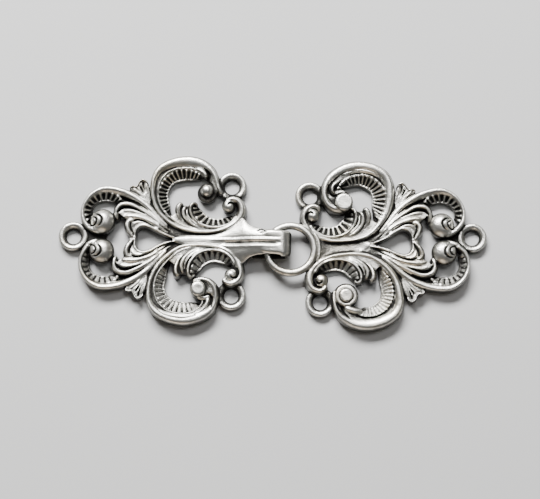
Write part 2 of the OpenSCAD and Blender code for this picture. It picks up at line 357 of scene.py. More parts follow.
class ShapeNet(Net):
    """Geometry Nodes tree with a geometry input and output and named inputs."""

    def __init__(self, name: str, inputs: list[tuple[str, str, float | None]]) -> None:
        """Starts the tree.

        Args:
            name: Name of the tree.
            inputs: Name, socket type and default value of each named input.
        """
        super().__init__(bpy.data.node_groups.new(name, "GeometryNodeTree"))
        face = self.tree.interface
        face.new_socket("Geometry", in_out="INPUT", socket_type="NodeSocketGeometry")
        for label, kind, default in [*inputs, ("Metal", "NodeSocketMaterial", None)]:
            socket = face.new_socket(label, in_out="INPUT", socket_type=kind)
            if default is not None:
                socket.default_value = default
        face.new_socket("Geometry", in_out="OUTPUT", socket_type="NodeSocketGeometry")
        self.start = self.tree.nodes.new("NodeGroupInput")

    def given(self, label: str) -> Socket:
        """The named input, inside the tree."""
        return self.start.outputs[label]

    def attribute(self, name: str, kind: str = "FLOAT") -> Socket:
        """Output that reads a named attribute."""
        return self.out("GeometryNodeInputNamedAttribute", {"Name": name}, "Attribute", data_type=kind)

    def stored(self, geometry: Socket, name: str, value: Socket, kind: str = "FLOAT_VECTOR") -> Socket:
        """The geometry with a value stored on its points as a named attribute."""
        inputs = {"Geometry": geometry, "Name": name, "Value": value}
        return self.out("GeometryNodeStoreNamedAttribute", inputs, data_type=kind, domain="POINT")

    def vector(self, operation: str, *values: object) -> Socket:
        """Output of a Vector Math node whose inputs are sockets or vectors."""
        output = "Value" if operation in ("DOT_PRODUCT", "LENGTH") else "Vector"
        return self.out("ShaderNodeVectorMath", dict(enumerate(values)), output, operation=operation)

    def scaled(self, vector: Socket, factor: object) -> Socket:
        """A vector times a number."""
        return self.out("ShaderNodeVectorMath", {0: vector, "Scale": factor}, operation="SCALE")

    def parts(self, vector: Socket) -> list[Socket]:
        """The x, y and z of a vector."""
        return list(self.out("ShaderNodeSeparateXYZ", {0: vector}).node.outputs)

    def joined(self, *values: object) -> Socket:
        """A vector of x, y and z."""
        return self.out("ShaderNodeCombineXYZ", dict(enumerate(values)))

    def finish(self, geometry: Socket) -> bpy.types.NodeTree:
        """Ends the tree in Realize Instances and Set Material.

        Args:
            geometry: What the tree has made.

        Returns:
            The finished tree.
        """
        real = self.out("GeometryNodeRealizeInstances", {"Geometry": geometry})
        dressed = self.out("GeometryNodeSetMaterial", {"Geometry": real, "Material": self.given("Metal")})
        self.put(self.tree.nodes.new("NodeGroupOutput").inputs["Geometry"], dressed)
        return self.tree


def guide_mesh(name: str, chains: list[np.ndarray], values: dict[str, list[np.ndarray]]) -> Mesh:
    """Mesh of loose edge chains that a tree turns into curves.

    Args:
        name: Name of the mesh.
        chains: One array of x, y and z for each chain, in metres.
        values: Attribute name to one array for each chain, of numbers or of points.

    Returns:
        The mesh with its attributes.
    """
    edges, start = [], 0
    for chain in chains:
        edges += [(start + i, start + i + 1) for i in range(len(chain) - 1)]
        start += len(chain)
    made = bpy.data.meshes.new(name)
    made.from_pydata(np.vstack(chains).tolist(), edges, [])
    for label, parts in values.items():
        column = np.concatenate(parts)
        kind, key = ("FLOAT_VECTOR", "vector") if column.ndim == 2 else ("FLOAT", "value")
        attribute = made.attributes.new(label, kind, "POINT")
        attribute.data.foreach_set(key, column.astype(np.float32).ravel())
    return made


def socket_id(tree: bpy.types.NodeTree, label: str) -> str:
    """Identifier of a tree's named input."""
    return next(i.identifier for i in tree.interface.items_tree if i.in_out == "INPUT" and i.name == label)


def run_tree(mesh: Mesh, tree: bpy.types.NodeTree, values: dict[str, object]) -> Shell:
    """Runs a tree over a guide mesh.

    Args:
        mesh: The guide mesh, which is removed.
        tree: The node tree.
        values: Value of each named input.

    Returns:
        The shapes that the tree makes, in millimetres.
    """
    holder = bpy.data.objects.new(mesh.name, mesh)
    bpy.context.scene.collection.objects.link(holder)
    modifier = holder.modifiers.new("Nodes", "NODES")
    modifier.node_group = tree
    for label, value in values.items():
        modifier[socket_id(tree, label)] = value
    bpy.context.view_layer.update()
    depsgraph = bpy.context.evaluated_depsgraph_get()
    made = bpy.data.meshes.new_from_object(holder.evaluated_get(depsgraph))
    points = [tuple(c / MM for c in v.co) for v in made.vertices]
    shell = Shell(points, [tuple(p.vertices) for p in made.polygons])
    holder.modifiers.remove(modifier)
    bpy.data.objects.remove(holder)
    for done in (mesh, made):
        bpy.data.meshes.remove(done)
    return shell


class StrokeTree:
    """Geometry Nodes that sweep a rounded cross-section along guides, standing on the back."""

    def __init__(self) -> None:
        """Builds the tree once for both halves."""
        points = ("Profile points", "NodeSocketInt", PROFILE_POINTS)
        net = ShapeNet("Swept stroke", [points, ("Crown", "NodeSocketFloat", COLLAR_CROWN)])
        place = net.out("GeometryNodeInputPosition")
        rail = net.out("GeometryNodeMeshToCurve", {"Mesh": net.given("Geometry")})
        rail = net.out("GeometryNodeSetCurveNormal", {"Curve": rail}, mode="Z_UP")
        rail = net.stored(rail, "rail_place", place)
        rail = net.stored(rail, "rail_side", net.out("GeometryNodeInputNormal"))

        half_circle = {"Resolution": net.given("Profile points"), "Radius": 1.0, "Sweep Angle": math.pi}
        arc = net.out("GeometryNodeCurveArc", half_circle, mode="RADIUS")
        x, y, _ = net.parts(place)
        crowned = net.joined(x, net.math("POWER", net.math("MAXIMUM", y, 0.0), net.given("Crown")))
        arc = net.out("GeometryNodeSetPosition", {"Geometry": arc, "Position": crowned})
        loop = net.out("GeometryNodeSetSplineCyclic", {"Geometry": arc, "Cyclic": True})
        swept = net.out("GeometryNodeCurveToMesh", {"Curve": rail, "Profile Curve": loop, "Fill Caps": True})

        rail_place = net.attribute("rail_place", "FLOAT_VECTOR")
        offset = net.vector("SUBTRACT", place, rail_place)
        flat = net.vector("MULTIPLY", offset, (1, 1, 0))
        inside = net.math("SUBTRACT", 1.0, net.vector("DOT_PRODUCT", flat, flat))
        lean = net.math("MULTIPLY", inside, net.attribute("lean"))
        push = net.scaled(net.attribute("rail_side", "FLOAT_VECTOR"), lean)
        across_x, across_y, _ = net.parts(net.vector("ADD", flat, push))
        half_width, up = net.attribute("half_width"), net.math("ABSOLUTE", net.parts(offset)[2])
        size = net.joined(
            net.math("MULTIPLY", across_x, half_width),
            net.math("MULTIPLY", across_y, half_width),
            net.math("MULTIPLY", up, net.attribute("crest")),
        )
        shaped = {"Geometry": swept, "Position": net.vector("ADD", rail_place, size)}
        self.tree = net.finish(net.out("GeometryNodeSetPosition", shaped))

    def sweep(self, strokes: list[Stroke], metal: Material, crown: float) -> Shell:
        """Sweeps strokes into closed shapes.

        Args:
            strokes: The strokes of one side.
            metal: Material given to the swept mesh.
            crown: Power of the crown: lower is flatter on top.

        Returns:
            The swept shapes, in millimetres.
        """
        paths = [s.samples() for s in strokes]
        chains = [np.column_stack([p[:, :2], np.zeros(len(p))]) * MM for p in paths]
        values = {"half_width": [p[:, 2] * MM for p in paths], "crest": [p[:, 3] * MM for p in paths]}
        guide = guide_mesh("stroke_guides", chains, values | {"lean": [p[:, 4] for p in paths]})
        return run_tree(guide, self.tree, {"Metal": metal, "Crown": crown, "Profile points": PROFILE_POINTS})


class RibTree:
    """Geometry Nodes that set rounded ribs from the inner to the outer edge of a flange."""

    def __init__(self) -> None:
        """Builds the tree once for both halves."""
        sizes = [("Rib width", "NodeSocketFloat", 0.5 * MM), ("Rib height", "NodeSocketFloat", 0.4 * MM)]
        net = ShapeNet("Flange ribs", [("Count", "NodeSocketInt", 18), *sizes])
        rail = net.out("GeometryNodeMeshToCurve", {"Mesh": net.given("Geometry")})
        spaced = {"Curve": rail, "Count": net.given("Count")}
        feet = net.out("GeometryNodeResampleCurve", spaced, mode="COUNT")
        bar = net.out("GeometryNodeMeshCylinder", {"Vertices": 12, "Radius": 1.0, "Depth": 2.0})
        bar = net.out("GeometryNodeTransform", {"Geometry": bar, "Rotation": (0, math.pi / 2, 0)})
        outer = net.attribute("outer_place", "FLOAT_VECTOR")
        reach = net.vector("SUBTRACT", outer, net.out("GeometryNodeInputPosition"))
        turn = net.out("FunctionNodeAlignRotationToVector", {"Vector": reach}, axis="X")
        upright = {"Rotation": turn, "Vector": (0, 0, 1)}
        turn = net.out("FunctionNodeAlignRotationToVector", upright, axis="Z", pivot_axis="X")
        size = net.joined(
            net.math("MULTIPLY", net.vector("LENGTH", reach), 0.5),
            net.math("MULTIPLY", net.given("Rib width"), 0.5),
            net.given("Rib height"),
        )
        feet = net.stored(net.stored(feet, "rib_turn", turn, "QUATERNION"), "rib_size", size)
        middles = net.out("GeometryNodeSetPosition", {"Geometry": feet, "Offset": net.scaled(reach, 0.5)})
        ribs = {"Points": middles, "Instance": bar, "Rotation": net.attribute("rib_turn", "QUATERNION")}
        ribs["Scale"] = net.attribute("rib_size", "FLOAT_VECTOR")
        self.tree = net.finish(net.out("GeometryNodeInstanceOnPoints", ribs))

    def ribs(self, flange: Flange, metal: Material, share: float, height: float) -> Shell:
        """Sets the ribs of one flange, where it is more than 0.6 of its full width.

        Args:
            flange: The flange that they stand on.
            metal: Material given to the ribs.
            share: Width of a rib as a share of the ribs' spacing at the outer edge.
            height: Height of a rib over the flange's floor, in millimetres.

        Returns:
            The ribs as closed shapes, in millimetres.
        """
        full_from, set_in, sunk = 0.6, 0.12, 0.1
        inner, outer = (np.array(edge) for edge in flange.edges())
        widths = [math.dist(a, b) for a, b in zip(inner, outer)]
        full = [i for i, width in enumerate(widths) if width > full_from * max(widths)]
        inner, outer = inner[full[0] : full[-1] + 1], outer[full[0] : full[-1] + 1]
        run = float(np.hypot(*np.diff(outer, axis=0).T).sum())
        inner = inner + set_in * (outer - inner)
        low, high = (
            np.column_stack([edge, np.full(len(edge), z)]) * MM
            for edge, z in ((inner, flange.inner_z), (outer, flange.outer_z - sunk))
        )
        guide = guide_mesh("flange_guide", [low], {"outer_place": [high]})
        width = share * run / max(flange.ribs - 1, 1)
        values = {"Count": flange.ribs, "Rib width": width * MM, "Rib height": height * MM, "Metal": metal}
        return run_tree(guide, self.tree, values)


# The ornament's tables

# Bands, rims and leaves, as x, y, width and crest, and where given lean. BIG_BAND also says how far its inner
# edge moves in on the eye half
BIG_BAND = [
    (7.15, 6.5, 0.8, 2.45, 0.0, 0.0), (7.2, 7.2, 1.15, 2.6, 0.0, 0.0), (8.2, 7.6, 1.3, 2.6, 0.0, 0.0),
    (9.4, 7.0, 1.5, 2.55, 0.0, 0.0), (9.85, 5.6, 1.8, 2.5, 0.0, 0.0), (9.3, 4.05, 1.6, 2.4, 0.0, 0.0),
    (7.9, 2.8, 1.15, 2.3, 0.0, 0.0), (6.1, 2.0, 0.9, 2.2, 0.0, 0.0), (4.1, 1.65, 0.85, 2.15, 0.0, 0.0),
    (1.6, 1.65, 0.85, 2.15, 0.0, 0.0), (-0.9, 2.15, 0.9, 2.15, 0.0, 0.1), (-3.0, 3.2, 0.95, 2.2, 0.0, 0.4),
    (-4.8, 4.9, 1.0, 2.3, 0.0, 0.8), (-5.8, 6.9, 1.0, 2.4, 0.0, 1.0), (-6.1, 9.0, 1.1, 2.5, -0.1, 1.0),
    (-5.85, 11.0, 1.4, 2.55, -0.2, 0.8), (-4.75, 12.65, 1.8, 2.6, -0.25, 0.5),
    (-2.6, 13.65, 2.3, 2.6, -0.3, 0.2), (0.1, 14.0, 2.6, 2.6, -0.3, 0.0), (2.4, 13.6, 2.4, 2.6, -0.25, 0.0),
]
BEAD = [
    (2.2, 1.95, 0.3, 1.9), (0.4, 2.3, 0.4, 2.05), (-1.4, 3.0, 0.45, 2.1), (-3.1, 4.2, 0.45, 2.15),
    (-4.4, 5.7, 0.5, 2.25), (-5.05, 7.3, 0.5, 2.3), (-5.15, 9.1, 0.52, 2.35), (-4.7, 10.7, 0.52, 2.4),
    (-3.7, 11.95, 0.52, 2.4),
]
UNDER_BAND = [
    (7.0, 2.9, 1.2, 1.7), (3.4, 2.0, 1.3, 1.7), (0.4, 2.2, 1.3, 1.75), (-1.6, 2.9, 1.4, 1.75),
    (-3.4, 4.1, 1.5, 1.8), (-4.8, 5.8, 1.6, 1.85), (-5.4, 7.6, 1.7, 1.9), (-5.5, 9.3, 1.7, 1.95),
    (-5.1, 11.0, 1.7, 2.0), (-4.0, 12.3, 1.7, 2.0), (-2.6, 13.0, 1.6, 2.0), (-1.0, 13.4, 1.2, 2.0),
]
UNDER_TAIL = [
    (0.8, 13.2, 1.2, 2.0), (2.3, 12.7, 1.5, 2.0), (4.0, 11.8, 1.8, 2.05), (4.8, 10.5, 1.8, 2.05),
    (4.9, 9.3, 1.8, 2.1), (4.6, 8.3, 1.6, 2.1),
]
LOWER_RIM = [
    (1.9, 6.1, 0.4, 1.9), (1.5, 6.65, 0.7, 2.3), (0.8, 6.3, 0.9, 2.5), (0.7, 5.2, 0.85, 2.5),
    (1.2, 4.1, 0.8, 2.4), (2.3, 3.1, 0.75, 2.3), (3.9, 2.55, 0.7, 2.25), (5.6, 2.5, 0.7, 2.2),
    (7.1, 2.9, 0.7, 2.2), (8.2, 3.65, 0.7, 2.25), (8.85, 4.6, 0.6, 2.25),
]
LEAF_LOBES = [
    [
        (-0.6, 6.3, 0.7, 2.2), (-1.15, 6.35, 1.15, 2.5), (-1.5, 5.7, 1.3, 2.55), (-1.4, 4.8, 1.1, 2.4),
        (-1.0, 3.95, 0.7, 2.1), (-0.3, 3.3, 0.45, 1.8),
    ],
    [
        (0.05, 6.05, 0.6, 2.2), (-0.35, 5.7, 0.95, 2.45), (-0.55, 4.9, 1.05, 2.5), (-0.1, 3.9, 0.95, 2.4),
        (1.0, 2.95, 0.75, 2.2), (2.6, 2.25, 0.5, 1.95),
    ],
    [
        (0.15, 5.7, 0.35, 2.0), (0.1, 4.9, 0.5, 2.25), (0.6, 3.9, 0.6, 2.3), (1.75, 2.95, 0.55, 2.15),
        (3.2, 2.35, 0.4, 1.95),
    ],
]
SMALL_BAND = [
    (-3.2, 2.3, 0.8, 1.9, 0.0), (-5.0, 3.9, 1.2, 2.1, 0.0), (-7.0, 5.9, 1.6, 2.2, 0.0),
    (-9.4, 7.45, 1.75, 2.3, 0.1), (-12.1, 8.35, 1.6, 2.4, 0.35), (-14.8, 8.55, 1.5, 2.45, 0.4),
    (-16.9, 7.5, 1.25, 2.45, 0.3), (-18.15, 5.7, 1.0, 2.4, 0.1), (-18.35, 4.0, 1.0, 2.4, 0.0),
    (-17.8, 2.5, 1.15, 2.45, 0.0),
]
# The small band's last turn under the ball, from the ball's middle
CURL = [(-2.2, -1.2, 1.2, 2.45), (-1.2, -1.75, 1.15, 2.3), (0.1, -1.9, 0.95, 2.0), (1.2, -1.55, 0.6, 1.7)]
LEAF_OUTER = [
    (-2.6, 1.6, 0.4, 1.5), (-3.6, 2.2, 0.65, 1.85), (-4.9, 3.1, 0.98, 2.15), (-6.3, 4.15, 1.15, 2.35),
    (-8.2, 5.3, 1.24, 2.5), (-10.0, 6.08, 1.34, 2.6), (-11.45, 6.0, 1.4, 2.65), (-12.25, 5.2, 1.48, 2.65),
    (-12.35, 4.05, 1.2, 2.55), (-12.0, 3.15, 0.8, 2.25),
]
LEAF_RIBS = [
    [
        (-4.4, 2.45, 0.38, 1.5), (-5.6, 3.25, 0.75, 1.9), (-7.0, 4.12, 1.2, 2.2), (-8.8, 4.8, 1.38, 2.35),
        (-10.2, 5.0, 1.3, 2.35), (-11.3, 4.75, 0.95, 2.2),
    ],
    [
        (-3.0, 1.2, 0.44, 1.5), (-4.2, 1.9, 0.88, 1.95), (-5.5, 2.75, 1.31, 2.3), (-7.2, 3.5, 1.62, 2.45),
        (-8.8, 3.9, 1.75, 2.55), (-10.2, 3.95, 1.5, 2.45), (-11.2, 3.75, 0.88, 2.25),
    ],
]
LEAF_INNER = [
    (-9.0, 3.2, 0.9, 2.35), (-9.95, 3.2, 1.35, 2.5), (-10.35, 2.45, 1.45, 2.6), (-10.15, 1.5, 1.34, 2.6),
    (-9.65, 0.75, 1.1, 2.5), (-9.1, 0.0, 1.0, 2.4),
]
LEAF_CHEEK = [
    (-3.9, 1.35, 0.42, 1.5), (-5.0, 2.0, 0.78, 1.9), (-6.2, 2.55, 1.14, 2.2), (-7.8, 2.98, 1.46, 2.38),
    (-9.0, 2.7, 1.4, 2.35), (-9.4, 1.8, 1.02, 2.2),
]
HEART_RIM = [
    (-1.3, 0.2, 0.5, 1.7), (-1.9, 0.4, 0.65, 1.9), (-2.9, 0.65, 0.8, 2.1), (-4.4, 1.25, 0.9, 2.2),
    (-5.9, 2.0, 0.95, 2.3), (-7.2, 2.45, 0.95, 2.35), (-8.3, 2.2, 0.9, 2.35), (-8.9, 1.35, 0.85, 2.3),
    (-8.95, 0.4, 0.8, 2.25), (-8.9, -0.3, 0.75, 2.25),
]
FAN_RIM = [
    (-9.9, 8.75, 0.35, 2.0), (-10.15, 9.1, 0.42, 2.2), (-9.7, 9.4, 0.45, 2.3), (-9.1, 9.35, 0.42, 2.25),
    (-8.75, 9.8, 0.42, 2.25), (-8.45, 10.35, 0.45, 2.3), (-7.95, 10.65, 0.48, 2.3),
    (-7.45, 10.45, 0.45, 2.25), (-7.1, 9.9, 0.4, 2.1),
]
FAN_LOBES = [
    [(-6.6, 5.9, 0.5, 1.8), (-8.2, 7.9, 0.7, 2.1), (-9.6, 9.05, 0.75, 2.15)],
    [(-6.5, 6.2, 0.5, 1.8), (-7.9, 8.3, 0.6, 2.05), (-8.85, 9.25, 0.5, 2.1)],
    [(-6.5, 6.5, 0.5, 1.8), (-7.6, 8.6, 0.55, 2.05), (-8.3, 9.9, 0.6, 2.15)],
    [(-6.4, 6.9, 0.5, 1.8), (-6.95, 8.6, 0.6, 2.05), (-7.35, 9.9, 0.6, 2.1)],
]
# Engraved lines, as x, y, width and depth
COMMON_GROOVES = [
    [
        (-12.1, 4.6, 0.15, 0.3), (-11.5, 5.35, 0.24, 0.6), (-10.3, 5.6, 0.24, 0.6), (-8.9, 5.15, 0.18, 0.4),
        (-7.4, 4.5, 0.1, 0.15),
    ],
    [(-8.3, 9.3, 0.13, 0.35), (-8.0, 8.7, 0.13, 0.3), (-7.7, 8.0, 0.1, 0.1)],
    [(-7.9, 10.1, 0.15, 0.45), (-7.75, 9.3, 0.13, 0.3), (-7.45, 8.3, 0.1, 0.1)],
    [(-9.8, 2.7, 0.1, 0.25), (-9.75, 1.9, 0.13, 0.4), (-9.35, 1.1, 0.13, 0.35), (-9.1, 0.5, 0.1, 0.2)],
    [(-5.5, 2.15, 0.1, 0.2), (-7.2, 2.98, 0.15, 0.4), (-8.5, 3.3, 0.15, 0.45), (-9.3, 3.05, 0.1, 0.25)],
    [(-6.8, 5.1, 0.1, 0.1), (-8.6, 6.35, 0.13, 0.25), (-10.5, 7.1, 0.13, 0.3), (-11.8, 7.35, 0.1, 0.2)],
]
INNER_LINE = [
    (-3.3, 4.9, 0.1, 0.1), (-4.5, 6.5, 0.13, 0.22), (-4.9, 8.45, 0.14, 0.25), (-4.4, 10.4, 0.14, 0.25),
    (-3.2, 11.9, 0.14, 0.25), (-1.4, 12.85, 0.14, 0.25), (0.5, 12.95, 0.14, 0.25), (2.0, 12.6, 0.13, 0.25),
]
# The same, from the middle of the small scroll's ball and from the middle of the volute
BALL_GROOVES = [
    [
        (-1.5, 1.1, 0.12, 0.15), (-0.7, 1.0, 0.16, 0.4), (-0.05, 0.35, 0.18, 0.48), (-0.2, -0.55, 0.16, 0.42),
        (-0.95, -1.2, 0.1, 0.1),
    ],
    [
        (-1.7, 0.65, 0.12, 0.25), (-1.15, 0.4, 0.16, 0.45), (-1.0, -0.25, 0.17, 0.45),
        (-1.45, -0.85, 0.15, 0.35), (-2.4, -1.0, 0.1, 0.1),
    ],
]
VOLUTE_GROOVES = [
    [
        (-0.1, 0.05, 0.1, 0.15), (0.1, 0.4, 0.15, 0.45), (0.6, 0.5, 0.17, 0.55), (1.05, 0.15, 0.2, 0.6),
        (1.2, -0.5, 0.22, 0.6), (1.0, -1.2, 0.2, 0.4),
    ],
]
# Outlines of the low beds that the ornament stands on, and their heights
SPINE_BED = [
    (-1.9, -0.2), (-3.2, 1.3), (-6.6, 5.4), (-6.6, 8.2), (-5.7, 8.2), (-5.1, 5.6), (-3.2, 3.6), (-0.9, 2.3),
    (1.8, 1.7), (4.8, 1.7), (7.4, 2.6), (8.6, 3.6), (8.9, 2.5), (8.9, -0.2),
]
LEAF_BED = [
    (-3.0, 3.9), (-1.0, 2.2), (1.8, 1.5), (5.1, 1.5), (8.0, 2.7), (9.6, 4.9), (9.0, 5.4), (7.5, 3.1),
    (5.1, 2.5), (2.7, 3.1), (1.1, 4.9), (0.6, 6.2), (-0.6, 6.2), (-1.6, 5.6), (-1.7, 4.9),
]
ROOT_BED = [
    (-4.9, 1.6), (-6.9, 2.5), (-8.8, 2.2), (-9.2, -0.2), (-9.8, -0.2), (-10.4, 3.3), (-11.6, 4.1),
    (-12.2, 5.2), (-11.0, 6.2), (-8.0, 5.8), (-5.8, 4.5), (-4.6, 3.1),
]
END_BED = [(-18.4, -0.2), (-18.1, 2.3), (-16.3, 1.7), (-15.2, 1.2), (-13.9, 0.9), (-14.1, -0.2)]
FAN_BED = [
    (-6.4, 5.4), (-10.1, 8.8), (-9.7, 9.4), (-9.0, 9.4), (-8.5, 10.4), (-7.9, 10.65), (-7.3, 10.3),
    (-6.6, 8.8),
]
BEDS = [(SPINE_BED, 1.35), (LEAF_BED, 1.8), (ROOT_BED, 2.12), (END_BED, 1.05), (FAN_BED, 1.85)]
# Flanges that every side has, as angle, inner radius and outer radius
LOWER_FLANGE = [
    (178, 3.4, 4.1), (198, 2.5, 4.1), (228, 2.2, 4.0), (270, 2.1, 4.0), (312, 2.5, 4.1), (332, 3.3, 4.1),
]
SMALL_FLANGE = [
    (30, 3.2, 3.75), (46, 2.25, 3.75), (75, 1.9, 3.5), (110, 1.75, 3.3), (150, 2.0, 3.3), (185, 2.2, 3.4),
    (212, 2.5, 3.5),
]
# Neck of the hook, as x, top, edge height, half width at +y and at -y, groove depth and underside
NECK = [
    (2.4, 1.75, 1.1, 1.2, 1.2, 0.0, 0.0), (4.2, 1.95, 1.25, 1.4, 1.3, 0.1, 0.0),
    (5.8, 2.14, 1.4, 1.8, 1.7, 0.22, 0.0), (7.2, 2.36, 1.65, 2.5, 2.4, 0.28, 0.0),
    (8.5, 2.66, 1.95, 3.3, 3.2, 0.32, 0.0), (9.5, 2.96, 2.08, 3.9, 3.8, 0.34, 0.0),
    (10.1, 3.2, 2.2, 4.1, 3.95, 0.34, 0.0), (10.5, 3.36, 2.35, 3.8, 3.7, 0.34, 0.2),
    (10.9, 3.52, 2.6, 3.3, 3.35, 0.34, 1.2), (11.4, 3.7, 2.9, 2.85, 2.98, 0.34, 2.2),
    (12.0, 3.88, 3.15, 2.55, 2.72, 0.34, 2.7), (12.8, 4.04, 3.38, 2.33, 2.52, 0.34, 2.95),
    (13.8, 4.15, 3.55, 2.15, 2.38, 0.33, 3.02), (14.6, 4.16, 3.58, 2.0, 2.2, 0.3, 3.04),
    (15.4, 4.08, 3.5, 1.7, 1.9, 0.25, 3.04),
]
# Radius, height of the top and squash of the small scroll's ball and of the volute
BALL, VOLUTE = (2.27, 3.36, 0.82), (1.2, 2.9, 0.9)
# Profile of a cap, as radius over the cap's own and height over its top
CAP_PROFILES = {
    Cap.BUTTON: [(0.05, -0.8), (0.0, -0.5), (-0.1, -0.25), (-0.3, -0.08), (-0.55, 0.0)],
    Cap.FLAT: [(0.1, -0.5), (0.02, -0.2), (-0.12, -0.05), (-0.3, 0.0)],
    Cap.RINGED: [
        (0.75, -0.75), (0.6, -0.5), (0.25, -0.42), (0.08, -0.56), (-0.02, -0.5), (-0.12, -0.12), (-0.3, 0.0),
    ],
}


def widened(rows: list[Row], share: float) -> list[Row]:
    """Moves the inner edge of a band in, by a share of the rows' last column.

    Args:
        rows: Rows of the band.
        share: Share of the widening that is taken.

    Returns:
        The rows without that column.
    """
    path = np.array(rows)
    along = np.gradient(path[:, :2], axis=0)
    along /= np.linalg.norm(along, axis=1)[:, None]
    shift = path[:, 5] * share
    path[:, 0] += along[:, 1] * shift / 2
    path[:, 1] -= along[:, 0] * shift / 2
    path[:, 2] += shift
    return [tuple(row) for row in path[:, :5]]


def moved(lines: list[list[Row]], at: Point) -> list[list[Row]]:
    """Lines given from a point, put in place."""
    return [[(at[0] + row[0], at[1] + row[1], *row[2:]) for row in line] for line in lines]


def engraved(lines: list[list[Row]]) -> list[np.ndarray]:
    """Samples of engraved lines."""
    return [curve(rows, LINE_STEPS * len(rows)) for rows in lines]


# Sub-assemblies


@dataclass(frozen=True)
class Drum:
    """Drum that a big scroll ends in.

    Attributes:
        at: Where it stands.
        radius: Radius of the drum.
        cap_at: Where the ball or cap stands.
        cap_radius: Radius of the ball or cap on it.
        top: Height of the cap.
        cap: Form of the cap.
        rim: Height of the drum's edge.
        rounding: Radius of the edge's rounding.
    """

    at: Point
    radius: float
    cap_at: Point
    cap_radius: float
    top: float
    cap: Cap
    rim: float = 1.9
    rounding: float = 0.5

    def shell(self) -> Shell:
        """Makes the drum with its rounded edge, and its cap.

        Returns:
            The turned shapes.
        """
        r = self.rounding
        wide, low = self.radius - r, self.rim - r
        wall = [(0.0, 0.0), (self.radius, 0.0), (self.radius, low)]
        wall += [(wide + r * math.cos(a), low + r * math.sin(a)) for a in (0.5, 1.0, 1.5)]
        shell = Shell().revolve(self.at, [*wall, (0.0, self.rim + 0.05)])
        if self.cap is Cap.BALL:
            shell.dome(self.cap_at, self.cap_radius, self.top, 1.0)
            return shell
        cap = [(self.cap_radius + out, self.top + up) for out, up in CAP_PROFILES[self.cap]]
        return shell.revolve(self.cap_at, [(0.0, 0.0), (cap[0][0], 0.0), *cap, (0.0, self.top - 0.06)])


@dataclass(frozen=True)
class Eyelet:
    """Sewing eyelet, a cast ring with its hole flared at the top.

    Attributes:
        at: Where it stands.
        bore: Radius of its hole.
        radius: Outer radius.
        top: Height of its crest.
    """

    at: Point
    bore: float = 1.25
    radius: float = 2.63
    top: float = 1.5

    def shell(self) -> Shell:
        """Makes the eyelet.

        Returns:
            A closed turned ring.
        """
        crest, shoulder, dip = self.bore + 0.95, 0.6, 0.5
        outer, flare = self.radius - crest, crest - self.bore - 0.3
        profile = [(self.bore, 0.0), (self.radius, 0.0), (self.radius, self.top - 0.75)]
        for a in np.linspace(0.2, 1.57, 6):
            profile.append((crest + outer * math.cos(a), self.top - shoulder + shoulder * math.sin(a)))
        for a in (0.5, 1.0, 1.4):
            profile.append((crest - flare * math.sin(a), self.top - dip + dip * math.cos(a)))
        return Shell().revolve(self.at, [*profile, (self.bore + 0.03, self.top - 0.95)], closed=True)


